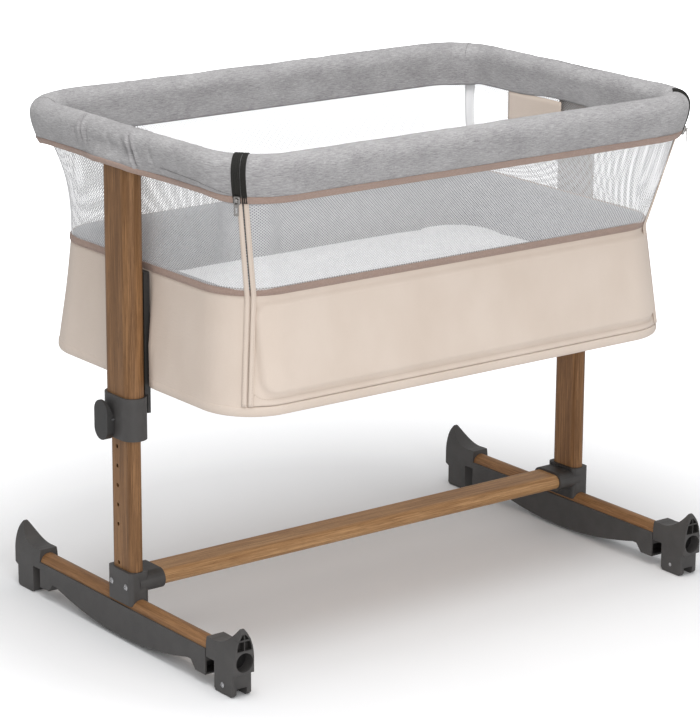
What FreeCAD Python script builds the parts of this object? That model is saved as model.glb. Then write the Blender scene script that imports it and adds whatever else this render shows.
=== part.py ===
import FreeCAD, Part
import math
import os
import re

import Sketcher
from FreeCAD import Placement, Rotation, Vector

# Bedside sleeper crib. X runs along the crib, the side that folds down faces -Y, Z is up.
# The origin is on the floor, under the middle. Every length is in millimetres.

document = FreeCAD.newDocument("BedsideCrib")
sheet = document.addObject("Spreadsheet::Sheet", "Sizes")

sizes = {
    # base frame
    "leg_reach": 448.0,          # middle of the crib to a leg's centre line
    "bar_height": 55.0,          # axis of the foot bars above the floor
    "bar_radius": 15.0,
    "tube_wall": 1.5,
    "bar_end": 292.0,            # half length of a foot bar
    "bar_fit": 0.05,             # running clearance of a foot cap on its bar
    "seat_gap": 0.2,             # clearance where one still piece sits in another
    "plug_flange": 2.0,          # the foot bar's end plugs
    "plug_inset": 0.3,
    "plug_stem": 18.0,
    # rocker runners
    "rocker_short": 56.5,        # end of a foot bar to the end of its runner
    "rocker_width": 36.0,
    "rocker_lip": 2.0,           # how far its walls rise past the bar's axis
    "rocker_low": 5.0,
    "rocker_radius": 750.0,
    "runner_short": 47.5,        # end of the runner to where its bow starts
    "tab_low": 15.5,
    "tab_length": 26.0,
    "tab_slope": 12.0,
    "rocker_screw": 4.0,
    "rocker_screw_reach": 84.6,
    "rocker_screw_sink": 2.0,
    # foot caps
    "cap_gap": 1.0,
    "block_back": 34.0,          # these four run from the bar's end
    "boss_ahead": 21.0,
    "block_ahead": 13.0,
    "wheel_back": 12.0,
    "boss_radius": 17.5,
    "block_width": 34.0,
    "block_bevel": 4.0,
    "sleeve_drop": 10.0,
    "sleeve_rise": 22.0,
    "sleeve_flat": 12.0,
    "horn_rise": 51.0,
    "horn_sweep": 50.0,          # where the horn's hollow back is lowest
    "horn_sag": 9.0,
    "horn_back": 8.0,            # the horn's tip, behind the boss's face
    "horn_nose": 5.0,
    "horn_face": 18.0,
    "horn_bow": 1.2,
    "horn_tip": 2.5,
    "horn_wall": 3.0,
    "horn_rim": 1.0,
    "pocket_depth": 10.0,
    "pocket_rib": 1.6,
    "wheel_radius": 14.0,
    "wheel_width": 15.0,
    "wheel_bead": 2.0,
    "wheel_gap": 1.5,
    "axle_radius": 3.0,
    "axle_head": 4.4,
    # legs and cross bar
    "inner_width": 61.0,
    "inner_thick": 24.0,
    "width_step": 13.0,          # how much wider and thicker the outer leg is
    "thick_step": 10.5,
    "leg_wall": 2.0,
    "leg_lift": 1.0,             # the inner leg's foot above its bar
    "inner_rise": 223.0,         # how far the inner leg reaches up inside the outer one
    "outer_foot": 337.0,
    "guide_length": 40.0,
    "guide_cap": 4.0,
    "guide_gap": 0.4,
    "lock_rise": 4.0,
    "hole_pitch": 31.3,
    "hole_offset": 8.0,
    "hole_radius": 3.3,
    "assembly_hole": 122.0,
    "cross_height": 94.0,
    "cross_width": 62.0,
    "cross_thick": 24.0,
    "bar_entry": 24.0,           # leg's centre line to the end of the cross bar
    "socket_length": 46.0,
    "socket_wall": 4.0,
    # tee brackets
    "tee_margin": 3.0,
    "tee_cover": 5.5,
    "tee_lift": 6.0,
    "tee_rise": 20.0,
    "tee_round": 8.0,
    "screw_radius": 5.0,
    "screw_rim": 0.8,
    "screw_dome": 1.6,
    "screw_slot": 1.0,
    "screw_spread": 20.0,
    "screw_drop": 4.0,
    # collars, levers and locks
    "collar_drop": 10.0,         # these run from the outer leg's foot
    "collar_rise": 57.0,
    "lever_drop": 15.0,
    "lever_rise": 48.0,
    "pivot_rise": 20.0,
    "collar_wall": 4.2,
    "ear_thick": 3.0,
    "ear_half": 5.0,
    "ear_margin": 1.0,
    "lever_offset": 17.0,
    "lever_width": 37.0,
    "lever_depth": 12.4,
    "lever_gap": 0.8,
    "lever_wall": 2.4,
    "relief_drop": 2.0,
    "pivot_depth": 3.6,
    "fork_depth": 3.0,
    "fork_thick": 2.0,
    "fork_rise": 9.0,
    "fork_height": 17.0,
    "fork_play": 0.8,
    "pin_radius": 1.5,
    "pin_head": 2.4,
    "pin_cap": 1.2,
    "lock_radius": 3.0,
    "lock_head": 4.5,
    "lock_cap": 1.0,
    "lock_play": 2.0,
    "lock_bite": 3.5,
    "coil_radius": 3.1,
    "coil_length": 9.0,
    "coil_wire": 1.0,
    "coil_leg": 12.0,
    # lower basket
    "shell_inset": 12.0,         # leg's centre line to the shell's end at its foot
    "shell_width": 277.0,        # half width there
    "shell_corner": 90.0,
    "shell_lift": 72.0,          # outer leg's foot to the shell's underside
    "shell_round": 6.0,
    "shell_wall": 8.0,
    "floor_thick": 4.0,
    "hem_height": 16.0,
    "shell_height": 178.0,
    "seam_inset": 28.0,          # leg's centre line to the seam of shell and mesh
    "seam_narrow": 21.0,
    "seam_tighten": 5.0,
    "binding_height": 10.5,
    "binding_thick": 3.0,
    "binding_proud": 1.0,
    "frame_inset": 43.0,
    "frame_narrow": 34.0,
    "frame_tighten": 15.0,
    "frame_radius": 9.0,
    "frame_lift": 1.0,
    "board_lap": 7.0,            # how far the base board laps over its tube
    "board_side_lap": 5.0,
    "board_thick": 6.0,
    "mattress_lap": 3.0,
    "mattress_thick": 62.0,
    "mattress_crown": 9.0,
    "mattress_edge": 14.0,
    "mattress_drawn": 2.5,       # how far its sides are drawn in at half height
    "mattress_slope": 70.0,
    "soft_gap": 0.4,
    "leg_room": 6.0,
    "bracket_room": 1.0,
    "bracket_half": 28.0,
    "bracket_thick": 10.0,
    "bracket_rise": 28.0,
    "bracket_lap": 40.0,
    "hook_inset": 4.0,
    # mesh and rail
    "mesh_wall": 2.5,
    "mesh_draw": 7.0,            # how far the stretched mesh is drawn in at half height
    "mesh_inset": 8.6,           # its top edge inside the rail's centre line
    "net_columns": 12,           # openings along a side, between the corners
    "net_rows": 3,
    "net_bar": 6.0,
    "net_leg_margin": 8.0,       # plain mesh beside a leg
    "net_corner_turn": 26.0,     # a corner's two openings, from its middle
    "net_corner_width": 38.0,
    "rail_inset": 9.5,           # leg's centre line to the rail's, along the crib
    "rail_flare": 20.5,          # how much wider the rail is than the shell's foot
    "rail_corner": 85.0,
    "rail_height": 785.0,
    "rail_tube": 11.0,
    "rail_pad": 22.0,
    "skirt_drop": 48.5,
    "skirt_outer": 9.0,
    "skirt_inner": 20.0,
    "bulge_wall": 2.5,
    "bulge_bevel": 1.6,
    "clamp_drop": 8.8,           # these three run down from the rail's axis
    "waist_drop": 31.0,
    "leg_drop": 35.0,
    "clamp_taper": 9.0,          # the clamp's head leans in under the padding
    "plug_depth": 18.0,
    "rail_plug": 14.0,
    "patch_half": 75.0,
    "patch_drop": 30.0,
    "patch_thick": 1.6,
    "patch_gap": 0.3,
    # front side and its zips
    "split_turn": 48.0,          # where the zip crosses the rail's corner, from the front
    "split_inset": 24.5,
    "split_narrow": 30.0,
    "split_gap": 0.6,
    "tape_back": 19.0,
    "tape_front": 9.0,
    "tape_thick": 1.2,
    "tape_gap": 0.1,
    "tape_lap": 4.0,             # how far the tape reaches over the crest
    "zip_inset": 2.0,            # where the lower tapes meet the rail, outside its centre line
    "placket": 9.0,
    "placket_lift": 2.0,
    "board_inset": 40.0,
    "board_foot": 8.0,
    "board_head": 6.0,
    "front_board_thick": 4.0,
    "slider_rise": 6.5,
    "slider_width": 9.0,
    "slider_height": 14.0,
    "slider_thick": 4.5,
    "slider_bevel": 1.2,
    "slider_gap": 1.0,
    "slider_clear": 3.9,         # the slider's back outside the skirt's foot
    "lug_depth": 2.9,
    "lug_width": 3.0,
    "lug_height": 6.0,
    "eye_depth": 1.5,
    "eye_rise": 2.2,
    "eye_radius": 0.9,
    "ring_radius": 0.8,
    "pull_width": 7.4,
    "pull_length": 23.5,
    "pull_drop": 20.5,
    "pull_rim": 1.5,
    "window_length": 9.0,
    "window_drop": 3.8,
    "slit_width": 3.0,
    "slit_drop": 17.0,
    "zip_lean": 18.8,            # the zip's slope from upright
    "lever_turn": 15.0,
}

# sizes that follow from the ones above
derived = {
    "rocker_end": "bar_end - rocker_short",
    "rocker_top": "bar_height + rocker_lip",
    "runner_half": "rocker_end - runner_short",
    "cap_start": "rocker_end + cap_gap",
    "block_start": "bar_end - block_back",
    "block_end": "bar_end + block_ahead",
    "boss_end": "bar_end + boss_ahead",
    "wheel_reach": "bar_end - wheel_back",
    "sleeve_low": "bar_height - sleeve_drop",
    "sleeve_top": "bar_height + sleeve_rise",
    "horn_top": "bar_height + horn_rise",
    "outer_width": "inner_width + width_step",
    "outer_thick": "inner_thick + thick_step",
    "inner_foot": "bar_height + bar_radius + leg_lift",
    "inner_top": "outer_foot + inner_rise",
    "cross_reach": "leg_reach - bar_entry",
    "socket_reach": "leg_reach - socket_length",
    "tee_width": "inner_width + 2 * tee_margin",
    "tee_thick": "inner_thick + 2 * tee_cover",
    "tee_foot": "bar_height + tee_lift",
    "tee_top": "cross_height + tee_rise",
    "screw_height": "cross_height - screw_drop",
    "lock_height": "outer_foot + lock_rise",
    "collar_foot": "outer_foot - collar_drop",
    "collar_top": "outer_foot + collar_rise",
    "lever_foot": "outer_foot - lever_drop",
    "lever_top": "outer_foot + lever_rise",
    "pivot_height": "outer_foot + pivot_rise",
    "bracket_foot": "outer_foot + bracket_rise",
    "shell_length": "leg_reach - shell_inset",
    "shell_foot": "outer_foot + shell_lift",
    "hem_top": "shell_foot + hem_height",
    "seam_length": "leg_reach - seam_inset",
    "seam_width": "shell_width - seam_narrow",
    "seam_corner": "shell_corner - seam_tighten",
    "seam_height": "shell_foot + shell_height",
    "frame_length": "leg_reach - frame_inset",
    "frame_width": "shell_width - frame_narrow",
    "frame_corner": "shell_corner - frame_tighten",
    "mattress_length": "frame_length + mattress_lap",
    "mattress_width": "frame_width - mattress_lap",
    "mattress_corner": "frame_corner + mattress_lap",
    "rail_length": "leg_reach - rail_inset",
    "rail_width": "shell_width + rail_flare",
    "skirt_foot": "rail_height - skirt_drop",
    "outer_top": "rail_height - leg_drop",
    "clamp_top": "rail_height - clamp_drop",
    "clamp_waist": "rail_height - waist_drop",
    "split_x": "rail_length - split_inset",
    "split_y": "rail_width - split_narrow",
    "front_board_half": "seam_length - board_inset",
    "slider_place": "skirt_foot + slider_rise",
    "far": "3 * leg_reach",      # well past every piece
}

for row, (alias, value) in enumerate((sizes | derived).items(), start=1):
    cell = "B%d" % row
    sheet.set("A%d" % row, alias.replace("_", " "))
    sheet.set(cell, "=" + value if alias in derived else str(value))
    sheet.setAlias(cell, alias)
document.recompute()


def size(alias):
    return float(sheet.get(alias))


parts = {}
UP = Vector(0, 0, 1)
sides = {"left": 0.0, "right": 180.0}   # each right-hand piece is the left one turned about Z


def formula(text):
    """Sheet names in the text become references to the sheet."""
    known = sizes | derived
    return re.sub(r"[a-z_]+", lambda word: "Sizes." + word[0] if word[0] in known else word[0], text)


def bind(piece, **formulas):
    for prop, text in formulas.items():
        piece.setExpression(prop.replace("__", "."), formula(text))


def keep(name, piece, turn=0.0):
    """Name a finished piece. A turn about Z puts a left-hand piece on the right."""
    piece.Label = name
    if turn:
        piece.Placement = Placement(Vector(0, 0, 0), Rotation(UP, turn)).multiply(piece.Placement)
    parts[name] = piece
    return piece


def box(x, y, z, length, width, height):
    piece = document.addObject("Part::Box", "Block")
    bind(piece, Length=length, Width=width, Height=height,
         Placement__Base__x=x, Placement__Base__y=y, Placement__Base__z=z)
    return piece


def cylinder(direction, x, y, z, radius, height):
    """A cylinder from (x, y, z) along a direction."""
    piece = document.addObject("Part::Cylinder", "Round")
    piece.Placement = Placement(Vector(0, 0, 0), Rotation(UP, direction))
    bind(piece, Radius=radius, Height=height,
         Placement__Base__x=x, Placement__Base__y=y, Placement__Base__z=z)
    return piece


def fuse(*pieces):
    piece = document.addObject("Part::MultiFuse", "Joined")
    piece.Shapes = list(pieces)
    return piece


def cut(base, *tools):
    piece = document.addObject("Part::Cut", "Cut")
    piece.Base = base
    piece.Tool = tools[0] if len(tools) == 1 else fuse(*tools)
    return piece


def from_shape(name, shape, turn=0.0):
    """A piece whose shape is worked out in code from the sheet's sizes."""
    piece = document.addObject("Part::Feature", name)
    piece.Shape = shape
    return keep(name, piece, turn)


def group(name, shapes):
    return from_shape(name, Part.makeCompound(shapes))


def turned(shape, angle):
    copy = shape.copy()
    copy.rotate(Vector(0, 0, 0), UP, angle)
    return copy


def both_ends(shape):
    """A left-hand shape and the same one turned to the right."""
    return [shape, turned(shape, 180)]


def closed_face(edges):
    return Part.Face(Part.Wire(Part.__sortEdges__(edges)))


def polygon_face(points):
    return Part.Face(Part.makePolygon(points + points[:1]))


# Flat-oval sections -----------------------------------------------------------------------


def draw_oval(sketch, width, thick, label):
    """A flat oval about the sketch's origin, its width along the sketch's Y axis."""
    half, r = 10.0, 5.0      # where the drawing starts: the constraints below set the real sizes
    first = sketch.addGeometry([
        Part.LineSegment(Vector(r, -half, 0), Vector(r, half, 0)),
        Part.ArcOfCircle(Part.Circle(Vector(0, half, 0), UP, r), 0, math.pi),
        Part.LineSegment(Vector(-r, half, 0), Vector(-r, -half, 0)),
        Part.ArcOfCircle(Part.Circle(Vector(0, -half, 0), UP, r), math.pi, 2 * math.pi),
    ])[0]
    a, top, b, low = first, first + 1, first + 2, first + 3
    for one, end, other, start in ((a, 2, top, 1), (top, 2, b, 1), (b, 2, low, 1), (low, 2, a, 1)):
        sketch.addConstraint(Sketcher.Constraint("Tangent", one, end, other, start))
    sketch.addConstraint(Sketcher.Constraint("PointOnObject", top, 3, -2))
    sketch.addConstraint(Sketcher.Constraint("Symmetric", top, 3, low, 3, -1, 1))
    sketch.addConstraint(Sketcher.Constraint("Equal", top, low))
    radius = sketch.addConstraint(Sketcher.Constraint("Radius", top, r))
    straight = sketch.addConstraint(Sketcher.Constraint("DistanceY", low, 3, top, 3, 2 * half))
    sketch.renameConstraint(radius, label + "_radius")
    sketch.renameConstraint(straight, label + "_straight")
    sketch.setExpression("Constraints." + label + "_radius", formula("( %s ) / 2" % thick))
    sketch.setExpression("Constraints." + label + "_straight",
                         formula("( %s ) - ( %s )" % (width, thick)))


def oval_body(name, width, thick, length, wall=None):
    """A flat-oval bar or tube that stands on the XY plane, its width along Y."""
    body = document.addObject("PartDesign::Body", name)
    sketch = body.newObject("Sketcher::SketchObject", name + "_section")
    plane = [f for f in body.Origin.OriginFeatures if f.Role == "XY_Plane"][0]
    sketch.AttachmentSupport = [(plane, "")]
    sketch.MapMode = "FlatFace"
    draw_oval(sketch, width, thick, "outer")
    if wall:
        draw_oval(sketch, "%s - 2 * %s" % (width, wall), "%s - 2 * %s" % (thick, wall), "inner")
    pad = body.newObject("PartDesign::Pad", name + "_pad")
    pad.Profile = sketch
    bind(pad, Length=length)
    sketch.Visibility = False
    body.Tip = pad
    return body


def stand(body, z):
    """Put a flat-oval body on the left leg's centre line."""
    bind(body, Placement__Base__x="-leg_reach", Placement__Base__z=z)
    return body


def lie(body, x):
    """Lay a flat-oval body along X, from x, at the cross bar's height, its width along Y."""
    body.Placement = Placement(Vector(0, 0, 0), Rotation(Vector(0, 1, 0), 90))
    bind(body, Placement__Base__x=x, Placement__Base__z="cross_height")
    return body


# Base frame -------------------------------------------------------------------------------


def foot_bar(side, turn):
    start = ("- leg_reach", "- bar_end", "bar_height")
    outside = cylinder(Vector(0, 1, 0), *start, "bar_radius", "2 * bar_end")
    inside = cylinder(Vector(0, 1, 0), *start, "bar_radius - tube_wall", "2 * bar_end")
    keep("foot_bar_" + side, cut(outside, inside), turn)


def rocker(side, turn):
    """A moulded channel under the foot bar, bowed below, with a tab at each end."""
    end, top, low = size("rocker_end"), size("rocker_top"), size("tab_low")
    bow, half = size("rocker_radius"), size("runner_half")
    centre = size("rocker_low") + bow
    notch = centre - math.sqrt(bow ** 2 - half ** 2)
    tab = end - size("tab_length")
    x = -size("leg_reach") - size("rocker_width") / 2

    def at(y, z):
        return Vector(x, y, z)

    outline = [Part.Arc(at(-half, notch), at(0, size("rocker_low")), at(half, notch)).toShape()]
    right = [at(half, notch), at(tab - size("tab_slope"), notch), at(tab, low), at(end, low), at(end, top)]
    left = [Vector(x, -p.y, p.z) for p in reversed(right)]
    line = right + left
    outline += [Part.makeLine(p, q) for p, q in zip(line[:-1], line[1:])]
    solid = closed_face(outline).extrude(Vector(size("rocker_width"), 0, 0))
    groove = Part.makeCylinder(size("bar_radius") + size("seat_gap"), 4 * end,
                               Vector(-size("leg_reach"), -2 * end, size("bar_height")), Vector(0, 1, 0))
    solid = solid.cut(groove)
    wall = size("horn_wall")
    for sign in (-1, 1):
        pocket = Part.makeBox(size("rocker_width") - 2 * wall, size("tab_length") - wall,
                              size("bar_height") - size("bar_radius") - low - 2 * wall)
        start = end - size("tab_length") + wall if sign > 0 else -end
        pocket.translate(Vector(x + wall, start, low + wall))
        solid = solid.cut(pocket)
    for screw, seat in rocker_screws():
        solid = solid.cut(screw).cut(seat)
    from_shape("rocker_" + side, solid, turn)


def rocker_screws():
    """The screws that hold the left rocker to its bar, each with the seat below its head."""
    found = []
    top = size("bar_height") - size("bar_radius") - size("seat_gap")
    radius, bow = size("rocker_screw"), size("rocker_radius")
    for y in (-size("rocker_screw_reach"), size("rocker_screw_reach")):
        rise = bow - math.sqrt(bow ** 2 - y ** 2)
        head = Vector(-size("leg_reach"), y, size("rocker_low") + rise + size("rocker_screw_sink"))
        shank, well = Part.makeCylinder(radius, top - head.z, head), Part.makeCylinder(radius, top, head, -UP)
        found.append((shank, well))
    return found


def rounded_block(low, high, radius):
    """A block between two corners with rounded upright edges."""
    block = Part.makeBox(high.x - low.x, high.y - low.y, high.z - low.z, low)
    upright = [edge for edge in block.Edges if abs(edge.BoundBox.ZLength - (high.z - low.z)) < 0.01]
    return block.makeFillet(radius, upright)


def tee_bracket(side, turn):
    half = Vector(size("tee_thick") / 2, size("tee_width") / 2, 0)
    middle = Vector(-size("leg_reach"), 0, 0)
    post = document.addObject("Part::Feature", "Tee_post_" + side)
    post.Shape = rounded_block(middle - half + UP * size("tee_foot"), middle + half + UP * size("tee_top"),
                               size("tee_round"))
    socket = lie(oval_body("Tee_socket_" + side, "cross_width + 2 * socket_wall",
                           "cross_thick + 2 * socket_wall", "leg_reach - socket_reach"), "- leg_reach")
    leg = stand(oval_body("Tee_leg_" + side, "inner_width + 2 * seat_gap",
                          "inner_thick + 2 * seat_gap", "tee_top"), "inner_foot")
    bar = lie(oval_body("Tee_bar_" + side, "cross_width + 2 * seat_gap",
                        "cross_thick + 2 * seat_gap", "leg_reach"), "- cross_reach")
    saddle = cylinder(Vector(0, 1, 0), "- leg_reach", "- tee_width", "bar_height",
                      "bar_radius + seat_gap", "2 * tee_width")
    keep("tee_bracket_" + side, cut(fuse(post, socket), leg, bar, saddle), turn)


def height_holes(side):
    """Holes in the outer face of an inner leg: one above the rest height, five below, and one for assembly."""
    heights = ["lock_height - %d * hole_pitch" % step for step in range(-1, 6)] + ["assembly_hole"]
    return [cylinder(Vector(1, 0, 0), "- leg_reach - inner_thick", "hole_offset", height,
                     "hole_radius", "inner_thick") for height in heights]


def inner_leg(side, turn):
    tube = stand(oval_body("Inner_leg_" + side, "inner_width", "inner_thick",
                           "inner_top - inner_foot", "leg_wall"), "inner_foot")
    keep("inner_leg_tube_" + side, cut(tube, *height_holes(side)), turn)
    guide = stand(oval_body("Guide_" + side, "outer_width - 2 * leg_wall - 2 * guide_gap",
                            "outer_thick - 2 * leg_wall - 2 * guide_gap", "guide_length"),
                  "inner_top - guide_length + guide_cap")
    bore = stand(oval_body("Guide_bore_" + side, "inner_width + 2 * seat_gap",
                           "inner_thick + 2 * seat_gap", "guide_length - guide_cap + seat_gap"),
                 "inner_top - guide_length + guide_cap")
    keep("inner_leg_guide_" + side, cut(guide, bore), turn)


def cross_bar():
    bar = lie(oval_body("Cross_bar", "cross_width", "cross_thick", "2 * cross_reach", "tube_wall"),
              "- cross_reach")
    keep("cross_bar", bar)


def screw_head(centre, direction, radius):
    """A domed screw head with a cross recess, seated at a point."""
    rim, dome, width = size("screw_rim"), size("screw_dome"), size("screw_slot")
    crown_share, slot_share = 0.55, 0.6       # parts of the head's radius
    solid = Part.makeCylinder(radius, rim, centre, direction)
    solid = solid.fuse(Part.makeCone(radius, radius * crown_share, dome, centre + direction * rim, direction))
    reach = radius * slot_share
    for angle in (45, 135):
        slot = Part.makeBox(2 * reach, width, dome, Vector(-reach, -width / 2, 0))
        slot.Placement = Placement(centre + direction * (rim + dome - width), Rotation(UP, direction)).multiply(
            Placement(Vector(0, 0, 0), Rotation(UP, angle)))
        solid = solid.cut(slot)
    return solid.removeSplitter()


def screws():
    outside = -size("leg_reach") - size("tee_thick") / 2
    bracket = []
    for y in (-size("screw_spread"), size("screw_spread")):
        seat = Vector(outside, y, size("screw_height"))
        bracket += both_ends(screw_head(seat, Vector(-1, 0, 0), size("screw_radius")))
    group("bracket_screws", bracket)
    group("rocker_screws", [part for screw, seat in rocker_screws() for part in both_ends(screw)])
    plugs = []
    for sign in (-1, 1):
        flange_thick, inward = size("plug_flange"), Vector(0, -sign, 0)
        start = Vector(-size("leg_reach"), sign * (size("bar_end") + flange_thick), size("bar_height"))
        flange = Part.makeCylinder(size("bar_radius") - size("plug_inset"), flange_thick, start, inward)
        stem = Part.makeCylinder(size("bar_radius") - size("tube_wall"), flange_thick + size("plug_stem"),
                                 start, inward)
        plugs += both_ends(flange.fuse(stem))
    group("bar_end_plugs", plugs)


# Foot caps --------------------------------------------------------------------------------


def horn_arch(half, foot, top):
    """The pointed arch of the horn, seen from the end, from its foot up."""
    shoulder_share, width_share = 0.45, 0.86
    shoulder, wide, tip = foot + (top - foot) * shoulder_share, half * width_share, size("horn_tip")
    left = Part.Arc(Vector(-half, 0, foot), Vector(-wide, 0, shoulder), Vector(-tip, 0, top))
    cap = Part.makeLine(Vector(-tip, 0, top), Vector(tip, 0, top))
    right = Part.Arc(Vector(tip, 0, top), Vector(wide, 0, shoulder), Vector(half, 0, foot))
    return [left.toShape(), cap, right.toShape()]


def cap_outline():
    """The side view of a foot cap, its end towards -Y."""
    start, block, end, boss = (size(n) for n in ("cap_start", "block_start", "block_end", "boss_end"))
    low, top, tip = size("sleeve_low"), size("sleeve_top"), size("horn_top")
    bevel, face = size("block_bevel"), tip - size("horn_face")
    ring, ramp = size("bar_height") - size("boss_radius"), start + size("sleeve_flat")
    back, nose = boss - size("horn_back"), boss - size("horn_nose")

    def at(y, z):
        return Vector(-size("block_width") / 2, -y, z)

    runs = [
        [at(nose, tip), at(back, tip)],
        [at(ramp, top), at(start, top), at(start, low), at(block, low), at(block, bevel),
         at(block + bevel, 0), at(end - bevel, 0), at(end, bevel), at(end, ring - bevel), at(boss, ring),
         at(boss, face)],
    ]
    edges = [Part.makeLine(p, q) for run in runs for p, q in zip(run[:-1], run[1:])]
    sweep = at(start + size("horn_sweep"), top + size("horn_sag"))
    bow = at(boss - size("horn_bow"), tip - size("horn_back"))
    edges.append(Part.Arc(at(ramp, top), sweep, at(back, tip)).toShape())
    edges.append(Part.Arc(at(nose, tip), bow, at(boss, face)).toShape())
    return edges


def cap_blank():
    """A foot cap about the leg's centre line, its end towards -Y, before any wheel is let in."""
    half, axis, boss, tip = size("block_width") / 2, size("bar_height"), size("boss_end"), size("horn_top")
    solid = closed_face(cap_outline()).extrude(Vector(2 * half, 0, 0))
    shoulder = size("sleeve_low") + size("sleeve_flat")
    corners = [Vector(half, 0, shoulder), Vector(half, 0, -shoulder),
               Vector(-half, 0, -shoulder), Vector(-half, 0, shoulder)]
    front = horn_arch(half, shoulder, tip + size("horn_rim") / 2)
    front += [Part.makeLine(p, q) for p, q in zip(corners[:-1], corners[1:])]
    solid = solid.common(closed_face(front).extrude(Vector(0, -2 * boss, 0)))
    inner = half - size("horn_wall") - size("horn_rim")
    floor = axis + size("boss_radius") + size("horn_rim")
    hollow = horn_arch(inner, floor, tip - size("horn_back"))
    hollow.append(Part.makeLine(Vector(inner, 0, floor), Vector(-inner, 0, floor)))
    depth, rib = size("pocket_depth"), size("pocket_rib")
    pocket = closed_face(hollow).extrude(Vector(0, -depth, 0))
    pocket.translate(Vector(0, depth - boss, 0))
    solid = solid.cut(pocket.cut(Part.makeBox(rib, depth, tip, Vector(-rib / 2, -boss, 0))))
    bore = Part.makeCylinder(size("bar_radius") + size("bar_fit"), 2 * boss, Vector(0, 0, axis),
                             Vector(0, -1, 0))
    return solid.cut(bore)


def wheel_slot():
    reach, gap, wheel = size("wheel_reach"), size("wheel_gap"), size("wheel_radius")
    width = size("wheel_width") + 2 * gap
    well = Part.makeBox(width, 2 * (wheel + gap), 2 * (wheel + gap),
                        Vector(-width / 2, -reach - wheel - gap, -gap))
    mouth = Part.makeBox(width, 3 * wheel, wheel, Vector(-width / 2, -reach - 3 * wheel, -gap))
    axle = Part.makeCylinder(size("axle_radius"), 2 * width, Vector(-width, -reach, wheel), Vector(1, 0, 0))
    return well.fuse(mouth).fuse(axle)


def foot_caps():
    blank = cap_blank()
    front = blank.cut(wheel_slot())
    for side, turn in sides.items():
        sign = -1 if side == "left" else 1
        shift = Vector(sign * size("leg_reach"), 0, 0)
        for end, shape, angle in (("front", front, 0), ("rear", blank, 180)):
            cap = turned(shape, angle)
            cap.translate(shift)
            from_shape("foot_cap_%s_%s" % (end, side), cap)
        wheels(side, sign, shift)


def wheels(side, sign, shift):
    """A castor wheel with a tyre bead and hub, on an axle with a domed outer head."""
    radius, width, reach = size("wheel_radius"), size("wheel_width"), size("wheel_reach")
    bore, bead = size("axle_radius") + size("bar_fit"), size("wheel_bead")
    half = width / 2
    hub, web, tyre = (radius * share for share in (0.45, 0.55, 0.75))
    outer = [(bore, half), (hub, half), (web, half - bead), (tyre, half - bead), (radius - bead, half),
             (radius, half - bead)]
    profile = [(r, -x) for r, x in outer] + outer[::-1]
    disc = polygon_face([Vector(x, 0, r) for r, x in profile])
    disc = disc.revolve(Vector(0, 0, 0), Vector(1, 0, 0), 360)
    disc.translate(Vector(0, -reach, radius) + shift)
    from_shape("wheel_" + side, disc)
    outside = size("block_width") / 2
    axle = Part.makeCylinder(size("axle_radius"), 2 * outside, Vector(-outside, -reach, radius),
                             Vector(1, 0, 0))
    head = screw_head(Vector(sign * outside, -reach, radius), Vector(sign, 0, 0), size("axle_head"))
    axle = axle.fuse(head)
    axle.translate(shift)
    from_shape("wheel_axle_" + side, axle)


# Collars, levers and locks ----------------------------------------------------------------


def lock_hole():
    """The hole for the lock pin through the left leg's outer face."""
    return cylinder(Vector(1, 0, 0), "- leg_reach - outer_thick", "hole_offset", "lock_height",
                    "hole_radius", "outer_thick")


def collar(side, turn):
    outside = stand(oval_body("Collar_" + side, "outer_width + 2 * collar_wall",
                              "outer_thick + 2 * collar_wall", "collar_top - collar_foot"), "collar_foot")
    seat = stand(oval_body("Collar_seat_" + side, "outer_width + 2 * seat_gap", "outer_thick + 2 * seat_gap",
                           "collar_top"), "outer_foot")
    passage = stand(oval_body("Collar_passage_" + side, "inner_width + 2 * guide_gap",
                              "inner_thick + 2 * guide_gap", "2 * ( outer_foot - collar_foot )"),
                    "2 * collar_foot - outer_foot")
    ears = [box("- leg_reach - outer_thick / 2 - collar_wall - pivot_depth - ear_thick", y,
                "pivot_height - ear_half", "pivot_depth + ear_thick + collar_wall - ear_margin",
                "ear_thick", "2 * ear_half")
            for y in ("lever_offset - lever_width / 2 + lever_wall + ear_margin",
                      "lever_offset + lever_width / 2 - lever_wall - ear_margin - ear_thick")]
    pivot = cylinder(Vector(0, 1, 0), "- leg_reach - outer_thick / 2 - collar_wall - pivot_depth",
                     "lever_offset - lever_width", "pivot_height", "pin_radius", "2 * lever_width")
    keep("collar_" + side, cut(fuse(outside, *ears), seat, passage, lock_hole(), pivot), turn)
    tube = stand(oval_body("Outer_leg_" + side, "outer_width", "outer_thick",
                           "outer_top - outer_foot", "leg_wall"), "outer_foot")
    keep("outer_leg_tube_" + side, cut(tube, lock_hole()), turn)


def capsule(width, foot, top, x, depth, y):
    """A plate with round ends that stands on its end and faces along X."""
    r = width / 2
    low, high = Vector(x, y, foot + r), Vector(x, y, top - r)
    arcs = [Part.Arc(Vector(x, y - r, low.z), Vector(x, y, foot), Vector(x, y + r, low.z)).toShape(),
            Part.Arc(Vector(x, y + r, high.z), Vector(x, y, top), Vector(x, y - r, high.z)).toShape()]
    lines = [Part.makeLine(Vector(x, y + r, low.z), Vector(x, y + r, high.z)),
             Part.makeLine(Vector(x, y - r, high.z), Vector(x, y - r, low.z))]
    return closed_face(arcs + lines).extrude(Vector(depth, 0, 0))


def lever_places():
    """The left lever's back face, its pivot, and the fork that holds the lock pin's head."""
    face = -size("leg_reach") - size("outer_thick") / 2 - size("collar_wall")
    back = face - size("lever_gap")
    pivot = Vector(face - size("pivot_depth"), size("lever_offset"), size("pivot_height"))
    return back, pivot, back - size("fork_depth")


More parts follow.
